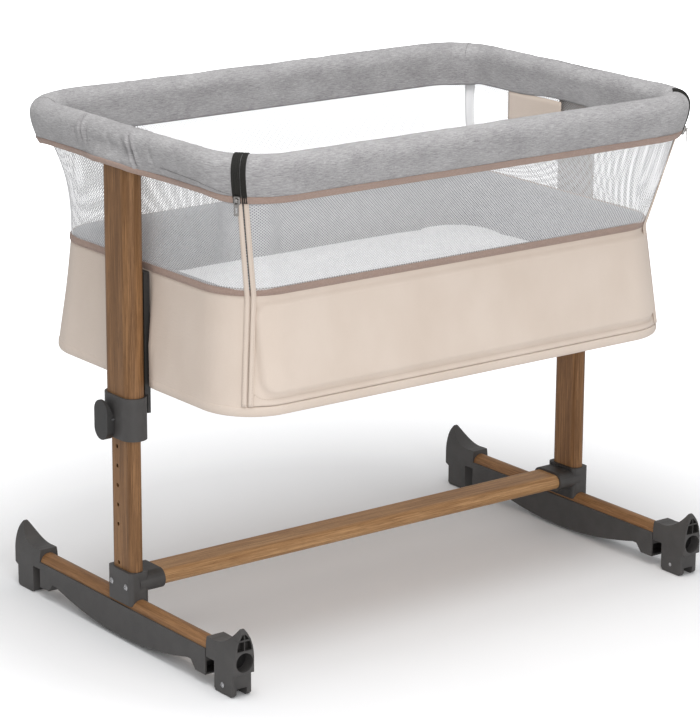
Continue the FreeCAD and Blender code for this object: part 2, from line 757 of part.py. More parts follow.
def lever(side, turn):
    """A paddle that rocks on a cross pin and draws the lock pin out of the inner leg."""
    back, pivot, fork_x = lever_places()
    depth, wall, y = size("lever_depth"), size("lever_wall"), size("lever_offset")
    width, foot, top = size("lever_width"), size("lever_foot"), size("lever_top")
    outer = capsule(width, foot, top, back - depth, depth, y)
    inner = capsule(width - 2 * wall, foot + wall, top - wall, back - depth + wall, depth, y)
    # the rim above the pivot slopes away, so that the paddle can rock in
    start, high = pivot.z - size("relief_drop"), 2 * top - foot
    slope = math.tan(math.radians(size("lever_turn") + 1))
    relief = polygon_face([Vector(back, y - width, start), Vector(back + wall, y - width, high),
                           Vector(back - (high - start) * slope, y - width, high)])
    paddle = outer.cut(inner).cut(relief.extrude(Vector(0, 2 * width, 0)))
    span, thick = width - wall, size("fork_thick")
    fork = Part.makeBox(thick, span, size("fork_height"),
                        Vector(fork_x - thick, y - span / 2, foot + size("fork_rise"))).common(outer)
    slot_half, lock_z = size("lock_radius") + size("fork_play"), size("lock_height")
    slot_start = Vector(fork_x - 2 * thick, size("hole_offset") - slot_half, lock_z + slot_half - width)
    slot = Part.makeBox(3 * thick, 2 * slot_half, width, slot_start)
    paddle = paddle.fuse(fork.cut(slot))
    bore = Part.makeCylinder(size("pin_radius") + size("bar_fit"), 4 * width,
                             pivot - Vector(0, 2 * width, 0), Vector(0, 1, 0))
    from_shape("release_lever_" + side, paddle.cut(bore), turn)


def lever_pin():
    """The cross pin of the left lever, with a head outside each wall."""
    pivot, half, cap = lever_places()[1], size("lever_width") / 2, size("pin_cap")
    pin = Part.makeCylinder(size("pin_radius"), 2 * half + cap, pivot - Vector(0, half + cap / 2, 0),
                            Vector(0, 1, 0))
    for sign in (-1, 1):
        head = Part.makeCylinder(size("pin_head"), cap, pivot + Vector(0, sign * (half + cap / 4), 0),
                                 Vector(0, sign, 0))
        pin = pin.fuse(head)
    return pin


def lock_pin(side, turn):
    """The pin that the lever draws out of the inner leg, with a head behind the fork."""
    fork_x, cap = lever_places()[2], size("lock_cap")
    tip = -size("leg_reach") - size("inner_thick") / 2 + size("lock_bite")
    start = Vector(fork_x - size("fork_thick") - size("lock_play") - cap, size("hole_offset"),
                   size("lock_height"))
    lock = Part.makeCylinder(size("lock_radius"), tip - start.x, start, Vector(1, 0, 0))
    head = Part.makeCylinder(size("lock_head"), cap, start, Vector(1, 0, 0))
    from_shape("lock_pin_" + side, lock.fuse(head), turn)


def lever_spring(side, turn):
    """A torsion spring on the cross pin, one leg down behind the paddle."""
    pivot, length, wire = lever_places()[1], size("coil_length"), size("coil_wire")
    seat = Vector(pivot.x, size("lever_offset") - size("lug_width") - wire, pivot.z)
    coil = Part.makeCylinder(size("coil_radius"), length, seat, Vector(0, 1, 0))
    bore = size("coil_radius") - 1.2 * wire
    coil = coil.cut(Part.makeCylinder(bore, 2 * length, seat - Vector(0, length / 2, 0), Vector(0, 1, 0)))
    leg = Part.makeBox(wire, wire, size("coil_leg"), seat + Vector(bore, 0, -size("coil_leg")))
    from_shape("lever_spring_" + side, coil.fuse(leg), turn)


# Soft walls, rail and front side ----------------------------------------------------------


def ring_wire(half_length, half_width, corner, z):
    """A rounded rectangle about the Z axis."""
    x, y, r = half_length, half_width, corner
    k = r * (1 - math.sqrt(0.5))
    edges = []
    for p, q in (((r - x, -y), (x - r, -y)), ((x, r - y), (x, y - r)),
                 ((x - r, y), (r - x, y)), ((-x, y - r), (-x, r - y))):
        edges.append(Part.makeLine(Vector(*p, z), Vector(*q, z)))
    for sx, sy in ((1, -1), (1, 1), (-1, 1), (-1, -1)):
        edges.append(Part.Arc(Vector(sx * (x - r), sy * y, z), Vector(sx * (x - k), sy * (y - k), z),
                              Vector(sx * x, sy * (y - r), z)).toShape())
    return Part.Wire(Part.__sortEdges__(edges))


def stack(levels, grow=0.0):
    """A solid through rounded rectangles, each (half length, half width, corner, height)."""
    least = size("seam_tighten")
    wires = [ring_wire(a + grow, b + grow, max(c + grow, least), z) for a, b, c, z in levels]
    return Part.makeLoft(wires, True, True)


def shell_levels():
    """The outer outline of the lower shell, from its foot to the seam."""
    foot = (size("shell_length"), size("shell_width"), size("shell_corner"))
    seam = (size("seam_length"), size("seam_width"), size("seam_corner"))
    low, edge = size("shell_foot"), size("shell_round")
    return [tuple(v - edge for v in foot) + (low,), foot + (low + edge,), seam + (size("seam_height"),)]


def mesh_levels():
    """The outer outline of the mesh wall, from the seam up under the rail cover."""
    foot = (size("seam_length"), size("seam_width"), size("seam_corner"))
    inset = size("mesh_inset")
    head = (size("rail_length") - inset, size("rail_width") - inset, size("rail_corner") - 1.5 * inset)
    low, high = size("seam_height") + size("binding_height"), size("skirt_foot")
    levels = [foot + (low,)]
    steps = 4
    for step in range(1, steps):
        t = step / steps
        draw = size("mesh_draw") * math.sin(math.pi * t)
        draws = (draw, draw, 2.5 * draw)      # the flat walls give more than the corners
        level = [a + (b - a) * t - d for a, b, d in zip(foot, head, draws)]
        levels.append(tuple(level) + (low + (high - low) * t,))
    return levels + [head + (high,)]


def hollow(levels, wall):
    """A wall of even thickness inside an outline, open at both ends."""
    first, last = levels[0], levels[-1]
    through = [first[:3] + (first[3] - wall,)] + levels + [last[:3] + (last[3] + wall,)]
    return stack(levels).cut(stack(through, -wall))


def sweep_ring(profile, half_length, half_width, corner, height):
    """A profile of (outward, up) points and arcs carried round a rounded rectangle."""
    x, y, r = half_length, half_width, corner

    def section(place):
        face = profile.copy()
        face.Placement = place
        return face

    pieces = []
    straights = [(Vector(r - x, -y, height), 0, 2 * (x - r)), (Vector(x, r - y, height), 90, 2 * (y - r)),
                 (Vector(x - r, y, height), 180, 2 * (x - r)), (Vector(-x, y - r, height), 270, 2 * (y - r))]
    corners = [Vector(x - r, r - y, height), Vector(x - r, y - r, height),
               Vector(r - x, y - r, height), Vector(r - x, r - y, height)]
    for (start, turn, run), middle in zip(straights, corners):
        along = Rotation(UP, turn).multVec(Vector(1, 0, 0))
        face = section(Placement(start, Rotation(UP, turn)))
        bar = face.extrude(along * run)
        bend = section(Placement(start + along * run, Rotation(UP, turn))).revolve(middle, UP, 90)
        pieces += [bar, bend]
    return pieces[0].fuse(pieces[1:]).removeSplitter()


def flat_face(points_and_arcs):
    """A face in the YZ plane: outward is -Y, up is Z. Arcs are given as three-point tuples."""
    edges = []
    for item in points_and_arcs:
        spots = [Vector(0, -u, v) for u, v in item]
        if len(spots) == 2:
            edges.append(Part.makeLine(*spots))
        else:
            edges.append(Part.Arc(*spots).toShape())
    return closed_face(edges)


def rail_profile(grow=0.0):
    """The padded cover's section: round over the tube, with a skirt each side that leans in."""
    r, foot = size("rail_pad") + grow, -size("skirt_drop")
    out, back = size("skirt_outer") + grow, -size("skirt_inner") - grow
    return flat_face([((-r, 0), (0, r), (r, 0)), ((r, 0), (out, foot)), ((out, foot), (back, foot)),
                      ((back, foot), (-r, 0))])


def rail_ring(profile):
    return sweep_ring(profile, size("rail_length"), size("rail_width"), size("rail_corner"),
                      size("rail_height"))


def round_face(radius, wall=None):
    """A disc across a tube's axis, or the ring of its wall."""
    rims = [radius, radius - wall] if wall else [radius]
    discs = [Part.Face(Part.Wire(Part.makeCircle(r, Vector(0, 0, 0), Vector(1, 0, 0)))) for r in rims]
    return discs[0].cut(discs[1]).Faces[0] if wall else discs[0]


def split_directions():
    """Outwards along the left-hand zip's plane, and across it from the front side to the leg side."""
    turn = math.radians(size("split_turn"))
    return Vector(-math.sin(turn), -math.cos(turn), 0), Vector(-math.cos(turn), math.sin(turn), 0)


def ahead_of_zips(offset, low=0.0):
    """The space in front of both corner zips, moved back by an offset, from a height up."""
    out, back = split_directions()
    foot = Vector(-size("split_x"), -size("split_y"), 0) + back * offset
    inner = foot - out * size("rail_corner") * 1.4
    outer = foot + out * size("far")
    corners = [inner, outer, Vector(-outer.x, outer.y, 0), Vector(-inner.x, inner.y, 0)]
    return polygon_face([Vector(p.x, p.y, low) for p in corners]).extrude(UP * size("far"))


def front_of(shape, low=0.0):
    return shape.common(ahead_of_zips(-size("split_gap") / 2, low))


def back_of(shape, low=0.0):
    return shape.cut(ahead_of_zips(size("split_gap") / 2, low))


def slab(low, high):
    """All that lies between two heights."""
    far = size("far")
    return Part.makeBox(2 * far, 2 * far, high - low, Vector(-far, -far, low))


def leg_head(low, grow):
    """A leg's upper end and its clamp under the rail cover, with an even margin, from a height up."""
    reach, half = size("leg_reach"), size("outer_thick") / 2 + grow
    top, waist = size("clamp_top") + grow, size("clamp_waist") + grow
    taper = size("clamp_taper")
    width = size("outer_width") / 2 + grow
    outline = [(-reach + half, low), (-reach + half, top), (-reach - half + taper, top),
               (-reach - half, waist), (-reach - half, low)]
    points = [Vector(x, -width, z) for x, z in outline]
    return polygon_face(points).extrude(Vector(0, 2 * width, 0))


def leg_room():
    """The space of both legs and their clamps under the rail cover."""
    return both_ends(leg_head(size("skirt_foot") - size("binding_height"), size("soft_gap")))


def leg_bulge(low, high):
    """Where the cover steps out round the left leg, between two heights."""
    bulge = leg_head(low, size("soft_gap") + size("bulge_wall"))
    bevel, outside = size("bulge_bevel"), bulge.BoundBox.XMin
    edges = [e for e in bulge.Edges
             if e.BoundBox.XMax < outside + 1.5 * size("clamp_taper") and e.BoundBox.YLength < bevel / 2]
    bulge = bulge.makeChamfer(bevel, edges)
    width = 4 * size("outer_width")
    return bulge.common(Part.makeBox(-size("rail_length") - outside, width, high - low,
                                     Vector(outside, -width / 2, low)))


def rail_cover_pieces():
    solid = rail_ring(rail_profile())
    for piece in both_ends(leg_bulge(size("skirt_foot"), size("rail_height"))):
        solid = solid.fuse(piece)
    solid = solid.cut(rail_ring(round_face(size("rail_tube") + size("soft_gap"))))
    for room in leg_room():
        solid = solid.cut(room)
    return solid.cut(rail_binding())


def binding_profile():
    """The band that edges the outer skirt."""
    foot, out = -size("skirt_drop"), size("skirt_outer")
    proud, thick = size("binding_proud"), size("binding_thick")
    high = foot + size("binding_height")
    lean = (size("rail_pad") - out) / size("skirt_drop") * size("binding_height")
    corners = [(out - thick, foot), (out + proud, foot), (out + proud + lean, high),
               (out - thick + lean, high)]
    return flat_face(zip(corners, corners[1:] + corners[:1]))


def rail_binding():
    """The skirt's binding, which steps out round the legs."""
    solid = rail_ring(binding_profile())
    low = size("skirt_foot")
    for piece in both_ends(leg_bulge(low, low + size("binding_height"))):
        solid = solid.fuse(piece)
    for room in leg_room():
        solid = solid.cut(room)
    return solid


def shell_solid():
    """The lower shell: walls, a floor and a hem, with room for the leg brackets."""
    wall = size("shell_wall")
    levels = [(a - wall, b - wall, c - wall, z) for a, b, c, z in shell_levels()[1:]]
    foot, top = levels[0], levels[-1]
    levels[0] = foot[:3] + (size("shell_foot") + size("floor_thick"),)
    solid = stack(shell_levels()).cut(stack(levels + [top[:3] + (top[3] + wall,)]))
    inner_face = size("leg_reach") - size("outer_thick") / 2 - size("soft_gap")
    low, height = size("shell_foot") - wall, 2 * size("shell_height")
    leg = (size("outer_width") / 2 + size("leg_room"), 0)
    bracket = (size("bracket_half") + size("bracket_room"), size("bracket_thick") + size("bracket_room"))
    for half, depth in (leg, bracket):
        room = Part.makeBox(size("leg_reach"), 2 * half, height,
                            Vector(depth - inner_face - size("leg_reach"), -half, low))
        for piece in both_ends(room):
            solid = solid.cut(piece)
    return solid


def seam_binding():
    seam = (size("seam_length"), size("seam_width"), size("seam_corner"))
    low, high, thick = size("seam_height"), size("seam_height") + size("binding_height"), size("binding_thick")
    outer = [seam + (low,), seam + (high,)]
    inner = [seam + (low - thick,), seam + (high + thick,)]
    return stack(outer, size("binding_proud")).cut(stack(inner, -thick))


def beside_zips(shape, back, front):
    """The parts of a shape that lie just behind and just in front of the corner zips."""
    gap = size("split_gap") / 2
    behind = shape.common(ahead_of_zips(back)).cut(ahead_of_zips(gap))
    ahead = shape.common(ahead_of_zips(-gap)).cut(ahead_of_zips(-front))
    return front_corners(behind), front_corners(ahead)


def front_corners(shape):
    """Only the solids at the two front corners."""
    return [s for s in shape.Solids
            if abs(s.BoundBox.Center.x) > size("leg_reach") / 2 and s.BoundBox.Center.y < 0]


def net_columns():
    """Width of each column of openings with the point and the angle that it is cut outwards from."""
    bar, half_x = size("net_bar"), size("seam_length") - size("seam_corner")
    half_y = size("seam_width") - size("seam_corner")
    columns = int(size("net_columns"))
    wide = 2 * half_x / columns - bar
    for column in range(columns):
        x = (column + 0.5) * (wide + bar) - half_x
        for sign in (-1, 1):
            yield wide, Vector(x, sign * half_y, 0), sign * 90
    beside = size("outer_width") / 2 + size("net_leg_margin")
    for angle in (0, 180):
        x = half_x * math.cos(math.radians(angle))
        wide = (half_y - beside - bar) / 2
        for share in (0.5, 1.5):
            y = beside + share * (wide + bar)
            for sign in (-1, 1):
                yield wide, Vector(x, sign * y, 0), angle
    for angle in (-135, -45, 45, 135):
        corner = Vector(math.copysign(half_x, math.cos(math.radians(angle))),
                        math.copysign(half_y, math.sin(math.radians(angle))), 0)
        for sign in (-1, 1):
            yield size("net_corner_width"), corner, angle + sign * size("net_corner_turn")


def net_openings():
    """A plain grid of openings, which stands for the thousands of fine holes of the net."""
    bar, rows, depth = size("net_bar"), int(size("net_rows")), 2 * size("seam_corner")
    low, high = size("seam_height") + size("binding_height"), size("skirt_foot")
    tall = (high - low - bar) / rows - bar
    cutters = []
    for wide, place, angle in net_columns():
        for row in range(rows):
            cutter = Part.makeBox(depth, wide, tall, Vector(0, -wide / 2, low + bar + row * (tall + bar)))
            cutter.Placement = Placement(place, Rotation(UP, angle)).multiply(cutter.Placement)
            cutters.append(cutter)
    return Part.makeCompound(cutters)


def rail_and_bindings():
    cover, binding, seam = rail_cover_pieces(), rail_binding(), seam_binding()
    from_shape("rail_cover", back_of(cover))
    from_shape("front_rail_cover", front_of(cover))
    clear = size("seat_gap")
    from_shape("rail_binding", binding.cut(ahead_of_zips(size("tape_back") + clear)))
    from_shape("seam_binding", back_of(seam))
    ahead = binding.common(ahead_of_zips(-size("tape_front") - clear))
    group("front_bindings", ahead.Solids + front_of(seam).Solids)


def walls():
    mesh = hollow(mesh_levels(), size("mesh_wall")).cut(net_openings())
    shell, hem = shell_solid(), size("hem_top")
    from_shape("mesh_wall", back_of(mesh))
    from_shape("front_mesh", front_of(mesh))
    from_shape("lower_shell", back_of(shell, hem))
    from_shape("front_panel", front_of(shell, hem + size("split_gap")))


def front_board():
    """The stiff board inside the front panel."""
    inset, thick = size("shell_wall") + 2 * size("soft_gap"), size("front_board_thick")
    half, width = size("front_board_half"), size("shell_width")
    levels = shell_levels()[1:]
    inner = [(a, b, c, z + s * thick) for (a, b, c, z), s in zip(levels, (-1, 1))]
    board = stack(levels, -inset).cut(stack(inner, -inset - thick))
    low, high = size("hem_top") + size("board_foot"), size("seam_height") - size("board_head")
    window = Part.makeBox(2 * half, width, high - low, Vector(-half, -1.5 * width, low))
    from_shape("front_board", board.common(window))


def zip_tapes():
    """The black tapes over the rail's cover and the plackets below it, on both sides of each zip."""
    thick, gap, floor = size("tape_thick"), size("tape_gap"), size("skirt_foot")
    over = rail_ring(rail_profile(thick + gap)).cut(rail_ring(rail_profile(gap)))
    over = over.common(slab(floor, size("far")))
    crest = tuple(size(n) - size("tape_lap") for n in ("rail_length", "rail_width", "rail_corner"))
    over = over.cut(stack([crest + (floor - thick,), crest + (size("far"),)]))
    edge = size("zip_inset")
    head = (size("rail_length") + edge, size("rail_width") + edge, size("rail_corner") + edge)
    levels = shell_levels()[1:] + [head + (floor - size("seat_gap"),)]
    proud = size("binding_proud")
    ribbon = stack(levels, proud + thick).cut(stack(levels, proud + gap))
    ribbon = ribbon.common(slab(size("hem_top") + size("placket_lift"), size("far")))
    behind, ahead = beside_zips(over, size("tape_back"), size("tape_front"))
    low_behind, low_ahead = beside_zips(ribbon, size("placket"), size("placket"))
    group("zip_tapes", behind + low_behind)
    group("front_zip_tapes", ahead + low_ahead)


def tubes():
    """The top rail's tube with its plugs, the front rail's tube and the lower frame's tube."""
    tube = rail_ring(round_face(size("rail_tube"), size("tube_wall")))
    from_shape("top_rail_tube", back_of(tube))
    from_shape("front_rail_tube", front_of(tube))
    core = rail_ring(round_face(size("rail_tube") - size("tube_wall")))
    group("rail_end_plugs", beside_zips(core, size("rail_plug"), 0)[0])
    from_shape("lower_frame_tube", sweep_ring(round_face(size("frame_radius"), size("tube_wall")),
                                              size("frame_length"), size("frame_width"),
                                              size("frame_corner"), frame_height()))


def frame_height():
    """The lower frame tube's axis, just above the shell's floor."""
    return size("shell_foot") + size("floor_thick") + size("frame_radius") + size("frame_lift")


def bed():
    """Base board and mattress inside the lower frame."""
    low = frame_height() + size("frame_radius")
    high = low + size("board_thick")
    outline = (size("frame_length") + size("board_lap"), size("frame_width") + size("board_side_lap"),
               size("frame_corner"))
    from_shape("base_board", stack([outline + (low,), outline + (high,)]))
    a, b, c = size("mattress_length"), size("mattress_width"), size("mattress_corner")
    foot, rise, crown = high + size("soft_gap"), size("mattress_thick"), size("mattress_crown")
    edge, drawn, slope = size("mattress_edge"), size("mattress_drawn"), size("mattress_slope")
    # inset and share of the height: a rounded foot, sides drawn in, a rounded shoulder
    profile = [(0.36 * edge, 0), (0, 0.10), (0, 0.40), (drawn, 0.50), (0, 0.60), (0, 0.88),
               (0.43 * edge, 0.96), (edge, 1.0)]
    levels = [(a - inset, b - inset, c - inset, foot + rise * share) for inset, share in profile]
    for steps, share in ((1, 0.55), (2, 0.90), (3, 1.0)):
        inset = steps * slope - edge / 2
        levels.append((a - inset, b - inset, max(c - inset, 1.4 * edge), foot + rise + crown * share))
    from_shape("mattress", stack(levels))


def leg_heads():
    """Brackets from the legs to the lower frame, and clamps from the legs to the top rail."""
    inner_face = -size("leg_reach") + size("outer_thick") / 2
    collar_face = inner_face + size("collar_wall") + size("patch_gap")
    half, thick, radius = size("bracket_half"), size("bracket_thick"), size("frame_radius")
    start, height, inset = size("collar_top") + size("bracket_room"), frame_height(), size("hook_inset")
    foot = size("bracket_foot")
    for side, turn in sides.items():
        plate = Part.makeBox(thick, 2 * half, size("seam_height") - size("bracket_room") - start,
                             Vector(inner_face, -half, start))
        lap = size("collar_top") + size("bracket_lap") - foot
        tongue = Part.makeBox(inner_face + thick - collar_face, 2 * half, lap,
                              Vector(collar_face, -half, foot))
        hook = Part.makeBox(-size("frame_length") - inner_face, 2 * (half - inset), 2 * radius,
                            Vector(inner_face, inset - half, height - radius))
        tube = Part.makeCylinder(radius + size("seat_gap"), 4 * half,
                                 Vector(-size("frame_length"), -2 * half, height), Vector(0, 1, 0))
        from_shape("side_bracket_" + side, plate.fuse(tongue).fuse(hook).cut(tube).removeSplitter(), turn)

        plug = stand(oval_body("Plug_" + side, "outer_width - 2 * leg_wall - 2 * seat_gap",
                               "outer_thick - 2 * leg_wall - 2 * seat_gap", "plug_depth + seat_gap"),
                     "outer_top - plug_depth")
        head = document.addObject("Part::Feature", "Clamp_" + side)
        head.Shape = leg_head(size("outer_top") + size("seat_gap"), 0)
        seat = cylinder(Vector(0, 1, 0), "- rail_length", "- outer_width", "rail_height",
                        "rail_tube + seat_gap", "2 * outer_width")
        keep("rail_clamp_" + side, cut(fuse(plug, head), seat), turn)


def leg_patches():
    """Fabric patches inside the mesh, over the legs."""
    levels, inner, half = mesh_levels(), size("mesh_wall") + size("patch_gap"), size("patch_half")
    skin = stack(levels, -inner).cut(stack(levels, -inner - size("patch_thick")))
    window = Part.makeBox(half, 2 * half, size("patch_drop") - size("soft_gap"),
                          Vector(-size("rail_length"), -half, size("skirt_foot") - size("patch_drop")))
    group("leg_patches", both_ends(skin.common(window)))


def zip_track():
    """The slider's place at rest at the left corner: its foot, the way out, aside and along the track."""
    out, aside = split_directions()
    corner = Vector(size("rail_corner") - size("rail_length"), size("rail_corner") - size("rail_width"), 0)
    lean = math.radians(size("zip_lean"))
    along = UP * math.cos(lean) + out * math.sin(lean)
    reach = size("rail_corner") + size("skirt_outer") + size("slider_clear")
    foot = corner + out * reach + aside * (size("slider_width") / 2 + size("slider_gap"))
    foot.z = size("slider_place")
    return foot, out, aside, along


def centred_box(x, depth, width, low, height):
    """A block from x outwards, centred on Y."""
    return Part.makeBox(depth, width, height, Vector(x, -width / 2, low))


def zip_pieces():
    """A slider and a pull at each front corner, at the foot of the rail's cover."""
    foot, out, aside, along = zip_track()
    height, thick = size("slider_height"), size("slider_thick")
    eye = Vector(thick + size("eye_depth"), 0, size("eye_rise"))
    body = centred_box(0, thick, size("slider_width"), -height / 2, height)
    body = body.makeChamfer(size("slider_bevel"), body.Edges)
    rise = size("lug_height")
    lug = centred_box(thick / 2, thick / 2 + size("lug_depth"), size("lug_width"), eye.z - rise / 2, rise)
    across = Vector(0, 1, 0)
    hole = Part.makeCylinder(size("eye_radius"), height, eye - across * height / 2, across)
    slider = body.fuse(lug).cut(hole)
    rim, width, wire = size("pull_rim"), size("pull_width"), 2 * size("ring_radius")
    span = width - 2 * rim
    ring = Part.makeCylinder(size("ring_radius"), width - rim, eye - across * (width - rim) / 2, across)
    start = eye.x - wire / 2
    frame = centred_box(start, wire, width, -size("pull_drop"), size("pull_length"))
    window = centred_box(start - wire, 3 * wire, span, -size("window_drop"), size("window_length"))
    slit = centred_box(start - wire, 3 * wire, size("slit_width"), -size("slit_drop"), size("window_length"))
    pull = frame.cut(window).cut(slit).fuse(ring)
    place = Placement(foot, Rotation(along.cross(aside), aside * -1, along, "ZXY"))
    # the pull hangs upright from the slider's eye
    hang = Placement(place.multVec(eye), Rotation(out, aside * -1, UP, "ZXY"))
    hang = hang.multiply(Placement(eye * -1, Rotation()))
    for name, shape, spot in (("zip_slider_", slider, place), ("zip_pull_", pull, hang)):
        left = shape.copy()
        left.Placement = spot
        from_shape(name + "left", left)
        from_shape(name + "right", left.mirror(Vector(0, 0, 0), Vector(1, 0, 0)))


# Build ------------------------------------------------------------------------------------

for side, turn in sides.items():
    foot_bar(side, turn)
    rocker(side, turn)
    tee_bracket(side, turn)
    inner_leg(side, turn)
    collar(side, turn)
    lever(side, turn)
    lock_pin(side, turn)
    lever_spring(side, turn)
cross_bar()
screws()
foot_caps()
group("lever_pins", both_ends(lever_pin()))
tubes()
bed()
leg_heads()
rail_and_bindings()
walls()
front_board()
zip_tapes()
leg_patches()
zip_pieces()

document.recompute()

for item in document.Objects:
    for state in ("Invalid", "Error"):
        if state in item.State:
            raise RuntimeError("%s is %s" % (item.Label, state))
for name, piece in parts.items():
    shape = piece.Shape
    if shape.isNull() or not shape.isValid() or not shape.Solids:
        raise RuntimeError(name + " has no sound solid")

os.makedirs("parts", exist_ok=True)
for name, piece in parts.items():
    piece.Shape.exportStep("parts/%s.step" % name)
    limits = piece.Shape.BoundBox
    print("%-24s %2d solids %9.1f cm3" % (name, len(piece.Shape.Solids), piece.Shape.Volume / 1000),
          "x %7.1f..%7.1f  y %7.1f..%7.1f" % (limits.XMin, limits.XMax, limits.YMin, limits.YMax),
          "z %6.1f..%6.1f" % (limits.ZMin, limits.ZMax))
print(len(parts), "nodes")
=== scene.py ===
import math

import bmesh
import bpy
import numpy as np
from mathutils import Matrix, Vector, noise


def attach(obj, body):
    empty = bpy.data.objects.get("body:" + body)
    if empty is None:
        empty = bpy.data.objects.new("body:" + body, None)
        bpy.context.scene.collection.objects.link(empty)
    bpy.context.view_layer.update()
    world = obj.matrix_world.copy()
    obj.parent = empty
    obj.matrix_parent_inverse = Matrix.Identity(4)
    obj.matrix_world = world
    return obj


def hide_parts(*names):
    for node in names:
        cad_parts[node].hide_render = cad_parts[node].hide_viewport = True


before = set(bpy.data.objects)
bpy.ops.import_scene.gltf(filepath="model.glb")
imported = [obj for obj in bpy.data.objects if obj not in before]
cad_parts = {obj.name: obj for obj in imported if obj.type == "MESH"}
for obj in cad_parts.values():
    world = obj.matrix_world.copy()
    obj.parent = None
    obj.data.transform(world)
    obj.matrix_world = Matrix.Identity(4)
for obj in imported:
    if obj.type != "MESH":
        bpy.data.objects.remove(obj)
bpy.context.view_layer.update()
print("frame loaded")

# the crib's main outlines, in metres: half length, half width, corner radius, height

rail = {
    "halfLength": 0.4385, "halfWidth": 0.2975, "corner": 0.085, "height": 0.785, "pad": 0.022,
    "skirtOut": 0.009, "skirtIn": 0.020, "skirtDrop": 0.0485,
}
seamLevel = (0.420, 0.256, 0.085, 0.587)
footLevel = (0.436, 0.277, 0.090, 0.415)
underLevel = (0.430, 0.271, 0.084, 0.409)
plackets = {"width": 0.0072, "gap": 0.0003, "top": (0.4405, 0.2995, 0.087, 0.7363)}
zipFoot = {"x": 0.414, "y": 0.2675, "turn": math.radians(48)}
legs = {
    "outer": 0.46815, "shell": 0.43035, "slot": 0.41900,
    "shellEase": (0.043, 0.056), "slotEase": (0.0295, 0.037),
}
waistLook = {"low": 0.598, "tall": 0.147, "acrossX": 0.0065, "acrossY": 0.0050}


def smooth(low, high, x):
    t = np.clip((np.asarray(x, float) - low) / (high - low), 0, 1)
    return t * t * (3 - 2 * t)


def between(a, b, t):
    return tuple(p + (q - p) * t for p, q in zip(a, b))


def grown(level, out, up=0.0):
    return (level[0] + out, level[1] + out, level[2] + out, level[3] + up)


def ring(level, s):
    # s runs round a rounded rectangle: even steps are straight sides, odd ones its corners
    s = np.asarray(s, float)
    a, b, r, z = (np.broadcast_to(v, s.shape) for v in level)
    part = np.floor(s).astype(int)
    t = s - part
    quarter = (part // 2) % 4
    turning = part % 2 == 1
    ahead = np.array([(1, 0), (0, 1), (-1, 0), (0, -1)], float)[quarter]
    out = np.array([(0, -1), (1, 0), (0, 1), (-1, 0)], float)[quarter]
    reach = np.where(quarter % 2 == 0, b, a)
    half = np.where(quarter % 2 == 0, a, b) - r
    angle = np.where(turning, t, 0) * math.pi / 2
    facing = out * np.cos(angle)[:, None] + ahead * np.sin(angle)[:, None]
    run = np.where(turning, half, half * (2 * t - 1))
    flat = ahead * run[:, None] + out * (reach - r)[:, None] + facing * r[:, None]
    return np.column_stack([flat, z]), np.column_stack([facing, np.zeros(len(s))])


def zipAt(level, offset):
    # where the left zip's plane crosses this outline
    back = (-math.cos(zipFoot["turn"]), math.sin(zipFoot["turn"]))
    low, high = 6.5, 8.4
    for _ in range(36):
        middle = (low + high) / 2
        x, y = ring(level, [middle])[0][0][:2]
        if (x + zipFoot["x"]) * back[0] + (y + zipFoot["y"]) * back[1] > offset:
            low = middle
        else:
            high = middle
    return low


def columns(level, side, step, closer=1):
    # evenly spaced places along the basket's part, or the front's, of one outline,
    # closer beside the left leg
    end = zipAt(level, plackets["gap"] if side == "basket" else -plackets["gap"])
    first, last = (9 - end, end) if side == "basket" else (end - 8, 9 - end)
    fine = np.linspace(first, last, 6000)
    points = ring(level, fine)[0]
    length = np.append(0, np.cumsum(np.linalg.norm(np.diff(points, axis=0), axis=1)))
    count = max(2, round(length[-1] / step)) + 1
    even = np.linspace(0, length[-1], count)
    if closer > 1:
        among = np.linspace(0, length[-1], (count - 1) * closer + 1)
        x, y = (np.interp(among, length, points[:, k]) for k in (0, 1))
        extra = among[(x < -0.42) & (y > -0.14) & (y < 0.15)]
        even = np.unique(np.round(np.concatenate([even, extra]), 7))
    return np.interp(even, length, fine), even


def drawnIn(points):
    # the net is drawn in at the rear corners
    points = np.array(points, float)
    x, y, z = points[:, 0], points[:, 1], points[:, 2]
    waist = np.sin(math.pi * np.clip((z - waistLook["low"]) / waistLook["tall"], 0, 1))
    waist *= smooth(0.36, 0.42, np.abs(x)) * smooth(0.14, 0.22, y)
    points[:, 0] -= np.sign(x) * waistLook["acrossX"] * waist
    points[:, 1] -= waistLook["acrossY"] * waist
    return points


def fitted(s, level, reference, side):
    # the columns of the reference outline, shifted in the zip corners to meet this outline's zips
    offset = plackets["gap"] if side == "basket" else -plackets["gap"]
    here, there = zipAt(level, offset), zipAt(reference, offset)
    if side == "basket":
        grow = (here - 7) / (there - 7)
        s = np.where(s > 7, 7 + (s - 7) * grow, s)
        return np.where(s < 2, 2 - (2 - s) * grow, s)
    grow = (8 - here) / (8 - there)
    s = np.where(s < 0, s * grow, s)
    return np.where(s > 1, 1 + (s - 1) * grow, s)


def quads(columnCount, rowCount, closed=False):
    faces = []
    for i in range(columnCount - 1):
        for j in range(rowCount if closed else rowCount - 1):
            k = (j + 1) % rowCount
            faces.append((i * rowCount + j, (i + 1) * rowCount + j, (i + 1) * rowCount + k, i * rowCount + k))
    return faces


def ringGrid(levels, s):
    grid = np.zeros((len(s), len(levels), 3))
    for j, level in enumerate(levels):
        grid[:, j] = ring(level, s)[0]
    return grid


def roundQuads(count, rowCount):
    # like quads, but the last column joins the first
    faces = []
    for i in range(count):
        k = (i + 1) % count
        for j in range(rowCount - 1):
            faces.append((i * rowCount + j, k * rowCount + j, k * rowCount + j + 1, i * rowCount + j + 1))
    return faces


def profileLength(profile):
    steps = np.linalg.norm(np.diff(np.array(profile), axis=0), axis=1)
    return np.append(0, np.cumsum(steps))


